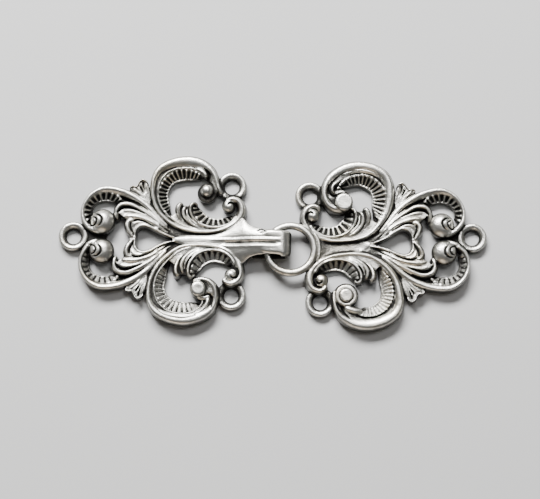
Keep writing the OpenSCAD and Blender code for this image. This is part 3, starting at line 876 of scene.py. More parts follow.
@dataclass
class ScrollSide:
    """Raised work on one side of a half's axis.

    Attributes:
        side: Which side of the axis.
        ball: Middle of the small scroll's ball.
        volute: Middle of the big band's volute.
        drum: Drum of its big scroll.
        tail: End of the big band, which wraps round the drum.
        details: Strokes that only this side has, such as its lips and its bead's end.
        grooves: Engraved lines that only this side has.
        sag: How much nearer to the axis the foot of the big scroll lies.
        widening: Share of the band's widening to the inside.
        flange_start: Angle at which the big flange starts, beside the lip.
        flute_reach: Radius to which the big flange's ribs reach below the band.
        ribs: Ribs of the big, lower and small flange.
        rib_share: Width of a rib as a share of the ribs' spacing.
        rib_height: Height of a rib over its flange, in millimetres.
    """

    side: Side
    ball: Point
    volute: Point
    drum: Drum
    tail: list[Row]
    details: list[list[Row]]
    grooves: list[list[Row]]
    sag: float
    widening: float
    flange_start: float
    flute_reach: float = 4.35
    ribs: tuple[int, int, int] = (17, 10, 11)
    rib_share: float = 0.74
    rib_height: float = 0.28

    def flanges(self) -> list[Flange]:
        """Makes the flanges, the big one as wide as this side's band leaves it.

        Returns:
            The big, the lower and the small flange.
        """
        w, start, reach = 0.85 * self.widening, self.flange_start, self.flute_reach
        big = [
            (start, reach - 0.7, reach), (start + 14, 3.0, reach), (72, 2.6, reach), (95, 2.45, reach),
            (140, 2.8 - 0.6 * w, (reach + 4.8) / 2), (180, 3.1 - w, 4.8), (215, 3.4 - w, 4.95),
            (230, 4.1 - 0.8 * w, 5.1), (242, 4.8, 5.2),
        ]
        return [
            Flange((-0.3, 8.45), big, self.ribs[0], inner_z=0.8, outer_z=2.0),
            Flange((5.1, 6.3), LOWER_FLANGE, self.ribs[1], inner_z=0.7, outer_z=1.75),
            Flange((-14.7, 4.9), SMALL_FLANGE, self.ribs[2], inner_z=0.8, outer_z=1.9),
        ]

    def broad_strokes(self) -> list[Stroke]:
        """Makes the bands of both scrolls and what lies under them, for flat crowns.

        Returns:
            The strokes.
        """
        big = widened(BIG_BAND, self.widening) + self.tail
        small = SMALL_BAND + moved([CURL], self.ball)[0]
        under = [Stroke(rows, UNDER_STEPS) for rows in (UNDER_BAND, UNDER_TAIL)]
        return [Stroke(big, BIG_STEPS), Stroke(small, SMALL_STEPS), *under]

    def fine_strokes(self) -> list[Stroke]:
        """Leaves, rims, beads and the fan, for rounder crowns."""
        rims = [LOWER_RIM, LEAF_OUTER, LEAF_INNER, LEAF_CHEEK, HEART_RIM, FAN_RIM]
        return [Stroke(rows) for rows in (*rims, *LEAF_LOBES, *LEAF_RIBS, *FAN_LOBES, *self.details)]

    def sagged(self, x: float, y: float) -> Point:
        """Lets a point sag with the foot of the big scroll.

        Args:
            x: Place along the axis.
            y: Distance from the axis.

        Returns:
            Where the point lies then.
        """
        along = min(max((x + 6) / 5, 0.0), 1.0)
        rise, fall = min(max(y / 1.6, 0.0), 1.0), min(max((6.6 - y) / 4, 0.0), 1.0)
        return x, y - self.sag * along * rise * fall

    def lines(self) -> list[np.ndarray]:
        """Gathers the engraved lines of this side.

        Returns:
            Rows of x, y, width and depth for each line.
        """
        own = moved(BALL_GROOVES, self.ball) + moved(VOLUTE_GROOVES, self.volute) + self.grooves
        found = engraved([*COMMON_GROOVES, *own])
        for path in found:
            path[:, 1] *= self.side.value
        return found

    def shell(self, strokes: StrokeTree, ribs: RibTree, metal: Material) -> Shell:
        """Makes all raised work of this side.

        Args:
            strokes: Tree that sweeps the bands.
            ribs: Tree that sets the ribs.
            metal: Material of the casting.

        Returns:
            The side's closed shapes, on its own side of the axis.
        """
        flanges = self.flanges()
        shell = strokes.sweep(self.broad_strokes(), metal, BROAD_CROWN)
        shell.add(strokes.sweep([*self.fine_strokes(), *(f.rim() for f in flanges)], metal, FINE_CROWN))
        for flange in flanges:
            shell.add(flange.floor())
            shell.add(ribs.ribs(flange, metal, self.rib_share, self.rib_height))
        shell.add(self.drum.shell())
        for outline, top in BEDS:
            shell.prism(outline, top)
        shell.points = [(*self.sagged(x, y), z) for x, y, z in shell.points]
        shell.dome(self.ball, *BALL)
        shell.dome(self.volute, *VOLUTE)
        return shell if self.side is Side.UPPER else shell.mirrored()


@dataclass
class Spine:
    """Grainy rib on the axis that carries both sides.

    Attributes:
        rows: x, height in the middle, half width and height at the edge.
    """

    rows: list[Row]

    def shell(self) -> Shell:
        """Makes the spine.

        Returns:
            One loft on the back.
        """
        rings = []
        across = [1 - i / 8 for i in range(17)]
        for x, top, half, edge in curve(self.rows, 60):
            crown = [(x, u * half, edge + (top - edge) * (1 - abs(u) ** 3)) for u in across]
            rings.append([(x, half, 0.0), *crown, (x, -half, 0.0)])
        return Shell().loft(rings)


@dataclass
class HookTongue:
    """Tongue of the hook: it rises from the spine, runs over the ring, bends down and returns.

    Attributes:
        thickness: Thickness of the strap.
        height: Height of its top over the flat back.
        tip_x: How far it reaches.
        return_x: Where the return leg ends.
        groove_y: Where its middle groove runs.
        steps: Cross-sections of the neck and of the strap.
    """

    thickness: float = 1.13
    height: float = 4.17
    tip_x: float = 18.75
    return_x: float = 11.9
    groove_y: float = -0.35
    steps: int = 110

    def relief(self, y: float, groove: float) -> float:
        """Finds how far the top lies under its highest level.

        Args:
            y: Place across the tongue.
            groove: Depth of the middle groove.

        Returns:
            Depth in millimetres.
        """
        d = y - self.groove_y
        middle = 0.9 * groove * math.exp(-((d / 0.32) ** 2))
        side_line = 0.35 * groove * math.exp(-(((d - 0.95) / 0.16) ** 2))
        off_ribs = 1 - math.exp(-(((abs(d) - 0.58) / 0.35) ** 2))
        return middle + side_line + 0.3 * groove * off_ribs * math.exp(-((d / 1.6) ** 4))

    def neck(self) -> Shell:
        """Makes the solid neck, from the spine to the strap, with its two shoulders.

        Returns:
            One loft.
        """
        rings = []
        for x, top, edge, plus, minus, groove, under in curve(NECK, self.steps):
            foot = max(under, 0.0)
            ring = [(x, plus, foot)]
            for i in range(45):
                u = 1 - i / 22
                y = u * (plus if u > 0 else minus)
                ring.append((x, y, top - (top - edge) * abs(u) ** 2.4 - self.relief(y, groove)))
            rings.append(ring + [(x, -minus, foot)])
        return Shell().loft(rings)

    def strap_rows(self) -> list[Row]:
        """Sets out the strap's middle: over the ring, round the bend and back.

        Returns:
            Rows of x, z, turn, edge at +y, edge at -y and groove depth.
        """
        half, middle = self.thickness / 2, self.height / 2
        top, r = self.height - half, (self.height - self.thickness) / 2
        rows = [
            (13.0, top - 0.3, 6, 1.6, 1.8, 0.33), (14.0, top - 0.08, 3, 1.95, 2.2, 0.33),
            (15.0, top, 0, 2.08, 2.32, 0.33), (16.0, top, 0, 2.05, 2.38, 0.25),
            (16.7, top, 0, 2.0, 2.45, 0.1),
        ]
        for a in range(15, 181, 15):
            t = math.radians(a)
            rows.append((self.tip_x - middle + r * math.sin(t), middle + r * math.cos(t), -a, 1.95, 2.7, 0.0))
        return [*rows, (14.5, half, -180, 1.9, 2.78, 0.0), (self.return_x, half, -180, 1.8, 2.75, 0.0)]

    def section(self, row: Row) -> list[Place]:
        """Makes a cross-section of the strap, with rounded edges, two ribs and a groove on top.

        Args:
            row: A row of the strap's middle.

        Returns:
            Its loop of points.
        """
        x, z, turn, plus, minus, groove = row
        a, half = math.radians(turn), self.thickness / 2
        loop: list[Point] = []
        for i in range(41):
            u = -1 + i / 20
            edge = max(0.0, abs(u) - 0.6) / 0.4
            y = u * (plus if u > 0 else minus)
            loop.append((y, half * (1 - 0.85 * edge**3) - self.relief(y, groove)))
        for i in range(21):
            u = 1 - i / 10
            edge = max(0.0, abs(u) - 0.85) / 0.15
            loop.append((u * (plus if u > 0 else minus), -half * (1 - 0.4 * edge**2)))
        return [(x - math.sin(a) * w, y, z + math.cos(a) * w) for y, w in loop]

    def shell(self) -> Shell:
        """Neck and strap."""
        return self.neck().loft([self.section(tuple(r)) for r in curve(self.strap_rows(), self.steps)])


@dataclass
class EyeRing:
    """Ring of round wire that the hook passes through, with its collar.

    Attributes:
        at: Centre of the ring.
        middle_z: Height of the wire's middle.
        radius: Radius to the middle of the wire.
        wire: Radius of the wire.
    """

    at: Point = (12.7, 0.15)
    middle_z: float = 2.1
    radius: float = 4.2
    wire: float = 0.67

    def shell(self) -> Shell:
        """Makes the ring of wire.

        Returns:
            A closed turned ring.
        """
        r, z, wire = self.radius, self.middle_z, self.wire
        angles = np.linspace(0, 2 * math.pi, 24, endpoint=False)
        loop = [(r + wire * math.cos(a), z + wire * math.sin(a)) for a in angles]
        return Shell().revolve(self.at, loop, sides=120, closed=True)

    def collars(self) -> list[Stroke]:
        """Makes the rounded ridges that the ring grows from, which follow it on the body's side.

        Returns:
            One stroke for each ridge.
        """
        found = []
        # Distance from the wire, angle on either side of the axis, width and crest
        for out, reach, width, crest in ((0.05, 42, 1.35, 2.6), (0.95, 31, 0.85, 2.5), (0.7, 38, 1.7, 2.1)):
            rows = []
            for a in (-1.0, -0.5, 0.0, 0.5, 1.0):
                x, y = polar(self.at, 180 + a * reach, self.radius + out)
                rows.append((x, y, width * (1 - 0.25 * a * a), crest - 0.15 * a * a))
            found.append(Stroke(rows, 40))
        return found


def box_blur(grid: np.ndarray, radius: int) -> np.ndarray:
    """Averages a grid over a square window, with its edge repeated.

    Args:
        grid: The grid.
        radius: Cells on either side of the middle.

    Returns:
        A grid of the same size.
    """
    total = np.pad(grid, radius + 1, mode="edge").cumsum(0).cumsum(1)
    k = 2 * radius + 1
    area = total[k:, k:] - total[:-k, k:] - total[k:, :-k] + total[:-k, :-k]
    return area[: grid.shape[0], : grid.shape[1]] / k**2


def wide_blur(grid: np.ndarray) -> np.ndarray:
    """Average over the neighbourhood of a band's width."""
    return box_blur(box_blur(grid, 7), 5)


def filled(grid: np.ndarray, least: float) -> np.ndarray:
    """Fills the empty cells that stand among full ones with their highest neighbour.

    Args:
        grid: Heights, zero where empty.
        least: Height from which a cell is full.

    Returns:
        The filled grid.
    """
    known, most = box_blur((grid > least).astype(float), 1), grid
    for axis in (0, 1):
        most = np.maximum(most, np.maximum(np.roll(most, -1, axis), np.roll(most, 1, axis)))
    return np.where((grid < least) & (known > 0.4), most, grid)


def triangles(mesh: Mesh) -> int:
    """Number of triangles of a mesh."""
    return sum(len(p.vertices) - 2 for p in mesh.polygons)


@dataclass
class Skin:
    """One melted skin on its way from overlapping shapes to the finished mesh.

    Attributes:
        piece: The object that carries the skin.
        pressed: How deep each point was engraved, in millimetres.
    """

    piece: bpy.types.Object
    pressed: np.ndarray = field(default_factory=lambda: np.zeros(0))

    def __post_init__(self) -> None:
        """Puts the piece in the scene."""
        bpy.context.scene.collection.objects.link(self.piece)

    def read(self, what: str) -> np.ndarray:
        """Reads the coordinates ("co") or normals of the skin's points.

        Args:
            what: Which of the two.

        Returns:
            Rows of x, y and z, in metres for coordinates.
        """
        values = np.empty(len(self.piece.data.vertices) * 3, np.float32)
        self.piece.data.vertices.foreach_get(what, values)
        return values.reshape(-1, 3)

    def place(self, points: np.ndarray) -> None:
        """Moves the skin's points to rows of x, y and z in metres."""
        self.piece.data.vertices.foreach_set("co", points.astype(np.float32).ravel())
        self.piece.data.update()

    def apply(self) -> None:
        """Turns the live modifiers into a plain mesh."""
        bpy.context.view_layer.update()
        depsgraph = bpy.context.evaluated_depsgraph_get()
        made = bpy.data.meshes.new_from_object(self.piece.evaluated_get(depsgraph))
        old = self.piece.data
        self.piece.modifiers.clear()
        self.piece.data = made
        made.name = self.piece.name
        bpy.data.meshes.remove(old)

    def melt(self) -> None:
        """Melts the shapes into one skin and softens it."""
        remesh = self.piece.modifiers.new("Melt", "REMESH")
        remesh.mode, remesh.voxel_size = "VOXEL", VOXEL_MM * MM
        soften = self.piece.modifiers.new("Soften", "SMOOTH")
        soften.factor, soften.iterations = 0.5, 4
        self.apply()

    def thin(self) -> None:
        """Thins the skin where it has too many triangles, flat places first."""
        count = triangles(self.piece.data)
        if count > MOST_TRIANGLES:
            self.piece.modifiers.new("Thin", "DECIMATE").ratio = MOST_TRIANGLES / count
            self.apply()

    def drop_crumbs(self) -> None:
        """Removes the loose crumbs that the melting left, all but the largest connected part."""
        mesh = self.piece.data
        pairs = np.empty(len(mesh.edges) * 2, np.int32)
        mesh.edges.foreach_get("vertices", pairs)
        a, b = pairs.reshape(-1, 2).T
        label, before = np.arange(len(mesh.vertices)), None
        while before is None or np.any(label != before):
            before = label.copy()
            lowest = np.minimum(label[a], label[b])
            np.minimum.at(label, a, lowest)
            np.minimum.at(label, b, lowest)
            label = label[label]
        kept = np.bincount(label).argmax()
        work = bmesh.new()
        work.from_mesh(mesh)
        crumbs = [vertex for vertex, part in zip(work.verts, label) if part != kept]
        bmesh.ops.delete(work, geom=crumbs, context="VERTS")
        work.to_mesh(mesh)
        work.free()

    def engrave(self, lines: list[np.ndarray]) -> None:
        """Presses lines into the upper side.

        Args:
            lines: Rows of x, y, width and depth for each line.
        """
        co, margin = self.read("co") / MM, 0.6
        up = np.clip(self.read("normal")[:, 2] * 2, 0, 1)
        depth = np.zeros(len(co))
        for line in lines:
            low, high = line[:, :2].min(0) - margin, line[:, :2].max(0) + margin
            near = np.flatnonzero(np.all((co[:, :2] > low) & (co[:, :2] < high), axis=1))
            gap = np.hypot(co[near, None, 0] - line[None, :, 0], co[near, None, 1] - line[None, :, 1])
            pressed = (line[None, :, 3] * np.exp(-((gap / line[None, :, 2]) ** 2))).max(1)
            depth[near] = np.maximum(depth[near], pressed)
        self.pressed = depth * up
        co[:, 2] -= self.pressed.astype(np.float32)
        self.place(co * MM)

    def store_masks(self) -> None:
        """Stores how deep each point lies in its groove and between the bands, and how steep it is, as masks
        for the patina and for the painted shade and painted dark reflection.
        """
        co, upward = self.read("co") / MM, self.read("normal")[:, 2]
        cell, margin, least = 0.12, 2, 0.05
        # Depths at which a mask is full: under the near surface, under the bands, and of an engraved line
        near_full, band_full, line_full = 0.32, 0.7, 0.25
        low = co[:, :2].min(0) - margin
        grid = np.zeros(np.ceil((co[:, :2].max(0) + margin - low) / cell).astype(int))
        here = tuple(((co[:, :2] - low) / cell).astype(int).T)
        np.maximum.at(grid, here, co[:, 2])
        grid = filled(filled(grid, least), least)
        solid = (grid > least).astype(float)
        fine = box_blur(box_blur(grid, 2), 2)[here]
        broad = (wide_blur(grid) / np.maximum(wide_blur(solid), least))[here]
        # Steep sides: the material paints them darker, a painted dark reflection besides their unpolished
        # silver
        steep = 1 - np.clip((upward - 0.1) / 0.7, 0, 1)
        walled = np.clip((box_blur(solid, 7)[here] - 0.6) / 0.3, 0, 1)
        deep = np.clip((fine - co[:, 2] - 0.02) / near_full, 0, 1) * (1 - steep * (1 - walled))
        deep = np.maximum(deep, np.clip((self.pressed - 0.08) / line_full, 0, 1))
        # Low floors under the bands around them: the material paints them darker as painted shade
        sunk = np.clip((broad - co[:, 2]) / band_full, 0, 1) * np.clip(upward * 3 - 0.3, 0, 1)
        back = upward < -0.5
        deep[back], steep[back] = 0.0, 0.45
        for name, values in (("recess", deep), ("shade", sunk), ("steep", steep)):
            attribute = self.piece.data.attributes.new(name, "FLOAT", "POINT")
            attribute.data.foreach_set("value", values.astype(np.float32))

    def keep_in_box(self, node: str) -> None:
        """Holds the skin inside its CAD node's box."""
        low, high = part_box(node)
        self.place(np.clip(self.read("co"), np.array(low), np.array(high)))


@dataclass
class ClaspHalf:
    """One casting of the clasp, from its ornament to its finished skin.

    Attributes:
        name: Name of the piece.
        node: CAD node that it stands for.
        at: Where the half stands, in millimetres.
        yaw: Its turn about the vertical, in degrees.
        facing: 1 where its x points to +X, -1 where it is mirrored.
        sides: The raised work on either side of the axis.
        eyelets: Its sewing eyelets.
        spine: The rib on its axis.
        partner: The tongue or the ring.
        grooves: Engraved lines on the axis.
    """

    name: str
    node: str
    at: Point
    yaw: float
    facing: int
    sides: list[ScrollSide]
    eyelets: list[Eyelet]
    spine: Spine
    partner: HookTongue | EyeRing
    grooves: list[list[Row]] = field(default_factory=list)

    def matrix(self) -> Matrix:
        """Finds the move from the half's own frame to the clasp's.

        Returns:
            The matrix, in metres.
        """
        place = Matrix.Translation((self.at[0] * MM, self.at[1] * MM, 0))
        turned = place @ Matrix.Rotation(math.radians(self.yaw), 4, "Z")
        return turned @ Matrix.Diagonal((self.facing, 1, 1, 1))

    def shell(self, strokes: StrokeTree, ribs: RibTree, metal: Material) -> Shell:
        """Gathers all shapes of the half, in its own frame.

        Args:
            strokes: Tree that sweeps the bands.
            ribs: Tree that sets the ribs.
            metal: Material of the casting.

        Returns:
            The closed shapes.
        """
        shell = self.spine.shell()
        for side in self.sides:
            shell.add(side.shell(strokes, ribs, metal))
        for part in (*self.eyelets, self.partner):
            shell.add(part.shell())
        if isinstance(self.partner, EyeRing):
            shell.add(strokes.sweep(self.partner.collars(), metal, COLLAR_CROWN))
        return shell

    def build(self, strokes: StrokeTree, ribs: RibTree, metal: Material) -> None:
        """Makes the half as one melted skin, riding on the root body in place of its CAD node.

        Args:
            strokes: Tree that sweeps the bands.
            ribs: Tree that sets the ribs.
            metal: Material of the casting.
        """
        mesh = self.shell(strokes, ribs, metal).mesh(self.name)
        skin = Skin(bpy.data.objects.new(self.name, mesh))
        skin.melt()
        skin.engrave(engraved(self.grooves) + [line for side in self.sides for line in side.lines()])
        skin.store_masks()
        skin.thin()
        skin.drop_crumbs()
        piece = skin.piece
        piece.data.transform(self.matrix())
        if self.facing == -1:
            piece.data.flip_normals()
        skin.keep_in_box(self.node)
        piece.data.materials.clear()
        piece.data.materials.append(metal)
        piece.data.shade_smooth()
        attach(piece, "root")
        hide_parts(self.node)
        log.info("%s: %d triangles", self.name, triangles(piece.data))


# Finishes


@dataclass(frozen=True)
class AntiqueSilver:
    """Silver plate with a dark patina in its recesses, polished back on the raised work, with painted shade
    on the low floors and a painted dark reflection on the steep sides.

    Attributes:
        name: Name of the material.
        polished: Colour of the silver that is polished back on the raised work.
        warm: Colour of the silver where it has yellowed a little.
        dull_and_shaded: Colour of the silver on the flanks and low floors, unpolished where the rubbing did
            not reach, and also their painted shade and painted dark reflection.
        oxide_and_shade: Colour of the patina in the recesses, also used for the painted shade on the low
            floors between the bands.
    """

    name: str = "Antique silver"
    polished: Colour = (0.88, 0.865, 0.8, 1.0)
    warm: Colour = (0.72, 0.65, 0.5, 1.0)
    dull_and_shaded: Colour = (0.15, 0.147, 0.135, 1.0)
    oxide_and_shade: Colour = (0.028, 0.027, 0.025, 1.0)

    def material(self) -> Material:
        """Builds the material from the masks on the mesh and fine cast grain.

        Returns:
            The material.
        """
        made = bpy.data.materials.new(self.name)
        made.use_nodes = True
        made.node_tree.nodes.clear()
        net = Net(made.node_tree)
        place = net.out("ShaderNodeTexCoord", output="Object")

        def noise(scale: float, detail: float) -> Socket:
            """Noise on object coordinates."""
            return net.out("ShaderNodeTexNoise", {"Scale": scale, "Detail": detail, "Vector": place}, "Fac")

        def ramp(value: Socket, low: float, high: float, start: float = 0.0, end: float = 1.0) -> Socket:
            """Smooth step of a value between two limits."""
            inputs = {"Value": value, "From Min": low, "From Max": high, "To Min": start, "To Max": end}
            return net.out("ShaderNodeMapRange", inputs, "Result", interpolation_type="SMOOTHSTEP")

        def blend(share: Socket, first: object, second: object) -> Socket:
            """Mix of two colours."""
            return net.out("ShaderNodeMix", {0: share, 6: first, 7: second}, 2, data_type="RGBA")

        def plus(value: Socket, factor: float, base: Socket) -> Socket:
            """A value times a factor, added to a base."""
            return net.math("MULTIPLY_ADD", value, factor, base)

        masks = ("recess", "shade", "steep")
        recess, shade, steep = (net.out("ShaderNodeAttribute", output="Fac", attribute_name=m) for m in masks)
        grain, blotch, patch = noise(4600, 4), noise(900, 5), noise(130, 2)
        # Patina in the recesses and engraved lines, with cast grain and blotches, plus painted shade on the
        # low floors between the bands from the shade mask
        patina_and_shade = ramp(plus(shade, 0.85, plus(grain, 0.35, plus(blotch, 0.3, recess))), 0.38, 0.94)
        warmth = ramp(patch, 0.52, 0.68, 0.0, 0.55)
        # Painted dark reflection on the steep sides and painted shade on the low floors, partly also
        # unpolished silver there, with blotches of uneven tone
        flank_shade = plus(blotch, 0.5, net.math("MAXIMUM", steep, net.math("MULTIPLY", shade, 1.25)))
        rubbed_and_shaded = blend(ramp(flank_shade, 0.22, 0.85), blend(warmth, self.polished, self.warm), self.dull_and_shaded)
        pits = plus(blotch, 0.8, net.math("MULTIPLY", grain, ramp(patina_and_shade, 0.0, 0.6, 0.5, 1.4)))
        inputs = {
            "Metallic": 1.0,
            "Base Color": blend(patina_and_shade, rubbed_and_shaded, self.oxide_and_shade),
            "Roughness": plus(grain, 0.12, ramp(patina_and_shade, 0.0, 1.0, 0.27, 0.6)),
            "Normal": net.out("ShaderNodeBump", {"Strength": 1.0, "Distance": 0.075 * MM, "Height": pits}),
        }
        surface = net.out("ShaderNodeBsdfPrincipled", inputs)
        net.put(net.tree.nodes.new("ShaderNodeOutputMaterial").inputs["Surface"], surface)
        return made


@dataclass(frozen=True)
class PaleFloor:
    """Plain pale surface that the clasp lies on.

    Attributes:
        name: Name of the material.
        colour: Its colour.
        roughness: Its roughness.
    """

    name: str = "Pale floor"
    colour: Colour = (0.6, 0.6, 0.595, 1.0)
    roughness: float = 0.9

    def material(self) -> Material:
        """Builds the floor's matt material.

        Returns:
            The material.
        """
        made = bpy.data.materials.new(self.name)
        made.use_nodes = True
        shader = made.node_tree.nodes["Principled BSDF"]
        shader.inputs["Base Color"].default_value = self.colour
        shader.inputs["Roughness"].default_value = self.roughness
        return made


# Studio


@dataclass
class Studio:
    """Floor, lights and camera round the clasp.

    Attributes:
        frame_width: Width of the photo's frame at the clasp, in millimetres.
        elevation: Camera's height above the horizon, in degrees.
        aim: Point that the camera looks at, in millimetres.
        lens: Focal length, in millimetres.
        floor_reach: Distance from the middle to the floor's edge, in metres.
        floor_gap: How far the floor lies under the clasp, in metres.
    """

    frame_width: float = 95.43
    elevation: float = 80.0
    aim: Place = (-0.49, -1.15, 1.5)
    lens: float = 100.0
    floor_reach: float = 1.2
    floor_gap: float = 0.00002

    def floor(self) -> None:
        """Adds the pale floor."""
        mesh = bpy.data.meshes.new("floor")
        r = self.floor_reach
        mesh.from_pydata([(-r, -r, 0), (r, -r, 0), (r, r, 0), (-r, r, 0)], [], [(0, 1, 2, 3)])
        mesh.materials.append(PaleFloor().material())
        floor = bpy.data.objects.new("floor", mesh)
        floor.location.z = -self.floor_gap
        bpy.context.scene.collection.objects.link(floor)

    def light(self, name: str, place: Place, size: Point, power: float, tint: Place = (1, 1, 1)) -> None:
        """Adds one soft rectangular light that points at the clasp.

        Args:
            name: Name of the light.
            place: Where it stands, in metres.
            size: Width and height of its face, in metres.
            power: Power in watts.
            tint: Colour of the light.
        """
        data = bpy.data.lights.new(name, "AREA")
        data.shape = "RECTANGLE"
        data.size, data.size_y = size
        data.energy, data.color = power, tint
        lamp = bpy.data.objects.new(name, data)
        lamp.location = place
        lamp.rotation_euler = (-Vector(place)).to_track_quat("-Z", "Y").to_euler()
        bpy.context.scene.collection.objects.link(lamp)

    def lights(self) -> None:
        """Adds a broad overhead key towards the far side, a weak top light and a weak warm fill."""
        self.light("key", (-0.1, 0.36, 0.36), (0.34, 0.14), 8.5)
        self.light("top", (0.1, 0.14, 0.5), (0.2, 0.1), 0.5)
        self.light("fill", (-0.1, -0.5, 0.12), (0.3, 0.1), 0.35, (1.0, 0.8, 0.6))
        world = bpy.data.worlds.new("Studio")
        world.use_nodes = True
        colour, strength = world.node_tree.nodes["Background"].inputs[:2]
        colour.default_value, strength.default_value = (0.85, 0.87, 0.9, 1), 0.08
        bpy.context.scene.world = world

    def camera(self) -> None:
        """Adds the camera at the photo's angle."""
        data = bpy.data.cameras.new("camera")
        data.lens, data.sensor_width, data.clip_start = self.lens, 36.0, 0.01
        distance = self.frame_width * MM * self.lens / data.sensor_width
        aim, a = Vector(self.aim) * MM, math.radians(self.elevation)
        eye = bpy.data.objects.new("camera", data)
        eye.location = aim + distance * Vector((0, -math.cos(a), math.sin(a)))
        eye.rotation_euler = (aim - eye.location).to_track_quat("-Z", "Y").to_euler()
        bpy.context.scene.collection.objects.link(eye)
        bpy.context.scene.camera = eye


# The two halves and the scene


def hook_half() -> ClaspHalf:
    """Sets out the half with the hook.

    Returns:
        The half.
    """
    lip = [(1.3, 12.95, 0.9, 2.35), (2.5, 12.45, 1.3, 2.6), (3.2, 11.75, 1.25, 2.65), (3.25, 11.2, 0.8, 2.5)]
    bead_end = [
        (-2.3, 12.65, 0.5, 2.45), (-0.8, 12.95, 0.42, 2.4), (0.6, 12.95, 0.4, 2.4), (1.5, 12.7, 0.35, 2.35),
    ]
    upper = ScrollSide(
        Side.UPPER,
        ball=(-14.75, 2.9),
        volute=(7.45, 6.3),
        drum=Drum((3.55, 8.6), 1.75, (3.5, 8.9), 1.15, 3.4, Cap.BALL),
        tail=[
            (4.1, 12.75, 1.7, 2.6), (4.85, 11.6, 1.35, 2.6), (5.25, 10.3, 1.15, 2.5), (5.7, 9.2, 1.05, 2.4),
            (6.15, 8.3, 0.8, 2.1),
        ],
        details=[lip, BEAD + bead_end],
        grooves=[
            [
                (2.9, 13.0, 0.1, 0.2), (3.55, 12.4, 0.15, 0.6), (3.85, 11.7, 0.17, 0.65),
                (3.65, 11.1, 0.16, 0.6), (3.0, 10.95, 0.12, 0.3),
            ],
        ],
        sag=0.0,
        widening=0.0,
        flange_start=46,
        rib_share=0.46,
        rib_height=0.36,
    )
    lip = [
        (1.8, 13.2, 0.9, 2.35), (3.2, 12.6, 1.3, 2.5), (4.05, 11.6, 1.4, 2.55), (4.35, 10.6, 1.1, 2.5),
        (4.3, 10.1, 0.8, 2.4),
    ]
    bead_end = [
        (-2.3, 12.8, 0.5, 2.4), (-0.2, 13.15, 0.45, 2.4), (1.8, 12.75, 0.45, 2.4), (3.0, 11.85, 0.5, 2.4),
        (3.55, 10.7, 0.5, 2.4),
    ]
    lower = ScrollSide(
        Side.LOWER,
        ball=(-14.7, 2.4),
        volute=(8.3, 6.1),
        drum=Drum((3.5, 8.6), 2.1, (2.6, 8.7), 1.4, 3.1, Cap.BUTTON, 2.4),
        tail=[
            (4.2, 12.95, 1.9, 2.6), (5.25, 11.8, 1.5, 2.6), (5.65, 10.5, 1.25, 2.6), (5.65, 9.3, 1.35, 2.7),
            (5.3, 8.15, 1.55, 2.8), (4.4, 7.3, 1.35, 2.85), (3.3, 6.95, 1.05, 2.8), (2.2, 7.1, 0.85, 2.7),
            (1.5, 7.7, 0.6, 2.5),
        ],
        details=[lip, BEAD + bead_end],
        grooves=[
            [
                (4.95, 12.0, 0.1, 0.15), (5.05, 10.9, 0.15, 0.5), (4.95, 10.1, 0.17, 0.6),
                (4.5, 9.6, 0.17, 0.6), (3.8, 9.85, 0.14, 0.35),
            ],
            [
                (-4.2, 12.7, 0.1, 0.1), (-2.6, 13.55, 0.13, 0.2), (0.0, 13.9, 0.13, 0.22),
                (2.2, 13.4, 0.12, 0.15),
            ],
        ],
        sag=0.85,
        widening=0.0,
        flange_start=42,
        flute_reach=4.7,
    )
    notch = [
        (12.8, 1.75, 0.12, 0.25), (13.4, 2.0, 0.12, 0.25), (14.1, 1.6, 0.12, 0.25), (13.3, 1.4, 0.12, 0.2),
    ]
    spine = [
        (-2.2, 1.8, 0.35, 1.5), (-1.4, 1.9, 0.65, 1.5), (0.0, 1.85, 0.9, 1.5), (2.5, 1.85, 1.0, 1.5),
        (5.0, 1.95, 1.1, 1.55), (7.0, 2.1, 1.3, 1.6),
    ]
    return ClaspHalf(
        "hook_casting",
        "hook_half",
        at=(-15.45, 0.5),
        yaw=-1.7,
        facing=1,
        sides=[upper, lower],
        eyelets=[Eyelet((7.9, 10.0)), Eyelet((8.4, -9.6)), Eyelet((-19.92, 0.2))],
        spine=Spine(spine),
        partner=HookTongue(),
        grooves=[notch],
    )


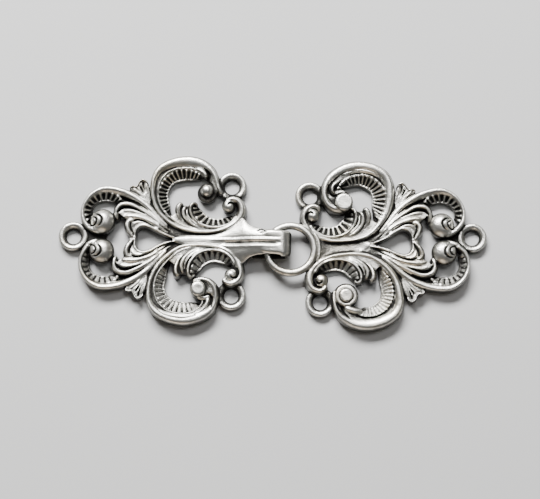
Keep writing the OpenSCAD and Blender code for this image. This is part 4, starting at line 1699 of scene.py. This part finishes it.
def eye_half() -> ClaspHalf:
    """Sets out the half with the ring.

    Returns:
        The half.
    """
    upper = ScrollSide(
        Side.UPPER,
        ball=(-14.3, 2.5),
        volute=(8.3, 5.95),
        drum=Drum((3.4, 8.2), 2.2, (2.6, 7.85), 1.5, 3.1, Cap.FLAT, 2.0),
        tail=[
            (4.2, 12.9, 2.0, 2.6), (5.4, 11.6, 1.6, 2.6), (5.9, 10.2, 1.45, 2.6), (5.85, 8.9, 1.6, 2.6),
            (5.4, 7.8, 1.7, 2.6), (4.55, 7.05, 1.7, 2.6), (3.5, 6.7, 1.5, 2.55), (2.5, 6.65, 1.2, 2.45),
            (1.7, 6.85, 0.8, 2.2),
        ],
        details=[
            [
                (2.6, 12.2, 0.6, 2.2), (3.5, 11.7, 0.9, 2.5), (4.35, 10.95, 0.95, 2.6),
                (4.5, 10.1, 0.85, 2.55), (4.0, 9.6, 0.6, 2.4),
            ],
            [(2.9, 10.4, 0.5, 2.4), (3.35, 10.6, 0.6, 2.5), (3.7, 10.2, 0.5, 2.5)],
            [(1.6, 12.3, 1.0, 1.8), (2.6, 11.9, 1.3, 1.8), (3.4, 11.2, 1.3, 1.8), (3.8, 10.4, 1.1, 1.8)],
        ],
        grooves=[
            [
                (5.15, 11.2, 0.1, 0.2), (5.15, 10.3, 0.16, 0.55), (4.9, 9.6, 0.17, 0.6),
                (4.3, 9.2, 0.16, 0.5), (3.8, 9.3, 0.12, 0.3),
            ],
            [
                (-5.0, 11.0, 0.1, 0.05), (-3.2, 12.9, 0.14, 0.16), (-0.8, 13.7, 0.14, 0.18),
                (1.8, 13.4, 0.12, 0.1),
            ],
            [(-0.5, 13.4, 0.1, 0.1), (1.4, 13.4, 0.12, 0.2), (3.2, 12.7, 0.12, 0.2), (4.6, 11.6, 0.1, 0.1)],
        ],
        sag=0.6,
        widening=1.0,
        flange_start=36,
        rib_share=0.46,
        rib_height=0.36,
    )
    lip = [(0.9, 11.7, 1.2, 2.3), (2.2, 11.55, 1.8, 2.55), (3.3, 11.2, 1.7, 2.6), (4.1, 10.8, 1.2, 2.55)]
    lower = ScrollSide(
        Side.LOWER,
        ball=(-14.3, 2.4),
        volute=(7.65, 5.8),
        drum=Drum((3.6, 8.7), 2.2, (3.6, 8.8), 1.25, 3.0, Cap.RINGED),
        tail=[
            (4.3, 12.8, 1.7, 2.6), (5.3, 11.6, 1.2, 2.6), (5.7, 10.2, 0.9, 2.5), (5.8, 8.9, 0.85, 2.3),
            (5.5, 7.6, 0.7, 2.1),
        ],
        details=[lip],
        grooves=[
            [(3.2, 12.9, 0.1, 0.25), (4.0, 12.1, 0.15, 0.5), (4.45, 11.3, 0.15, 0.5), (4.6, 10.6, 0.12, 0.3)],
            INNER_LINE,
        ],
        sag=0.25,
        widening=0.8,
        flange_start=50,
        ribs=(20, 10, 11),
    )
    spine = [
        (-2.4, 1.6, 0.25, 1.25), (-1.4, 1.55, 0.45, 1.3), (-0.2, 1.42, 0.85, 1.45), (1.2, 1.28, 1.2, 1.75),
        (2.6, 1.2, 1.45, 1.9), (5.0, 1.3, 1.7, 1.9), (6.4, 1.6, 2.3, 2.0), (7.3, 2.0, 2.8, 2.15),
        (8.4, 2.25, 3.4, 2.2),
    ]
    return ClaspHalf(
        "eye_casting",
        "eye_half",
        at=(15.8, -0.45),
        yaw=4.2,
        facing=-1,
        sides=[upper, lower],
        eyelets=[Eyelet((8.5, 9.6)), Eyelet((8.2, -9.5)), Eyelet((-19.6, 0.0))],
        spine=Spine(spine),
        partner=EyeRing(),
    )


def main() -> None:
    """Builds both halves and the studio, and reports each piece."""
    logging.basicConfig(level=logging.INFO, format="%(name)s: %(message)s")
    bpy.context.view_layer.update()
    metal = AntiqueSilver().material()
    strokes, ribs = StrokeTree(), RibTree()
    for half in (hook_half(), eye_half()):
        half.build(strokes, ribs, metal)
    studio = Studio()
    studio.floor()
    studio.lights()
    studio.camera()


if __name__ == "__main__":
    main()
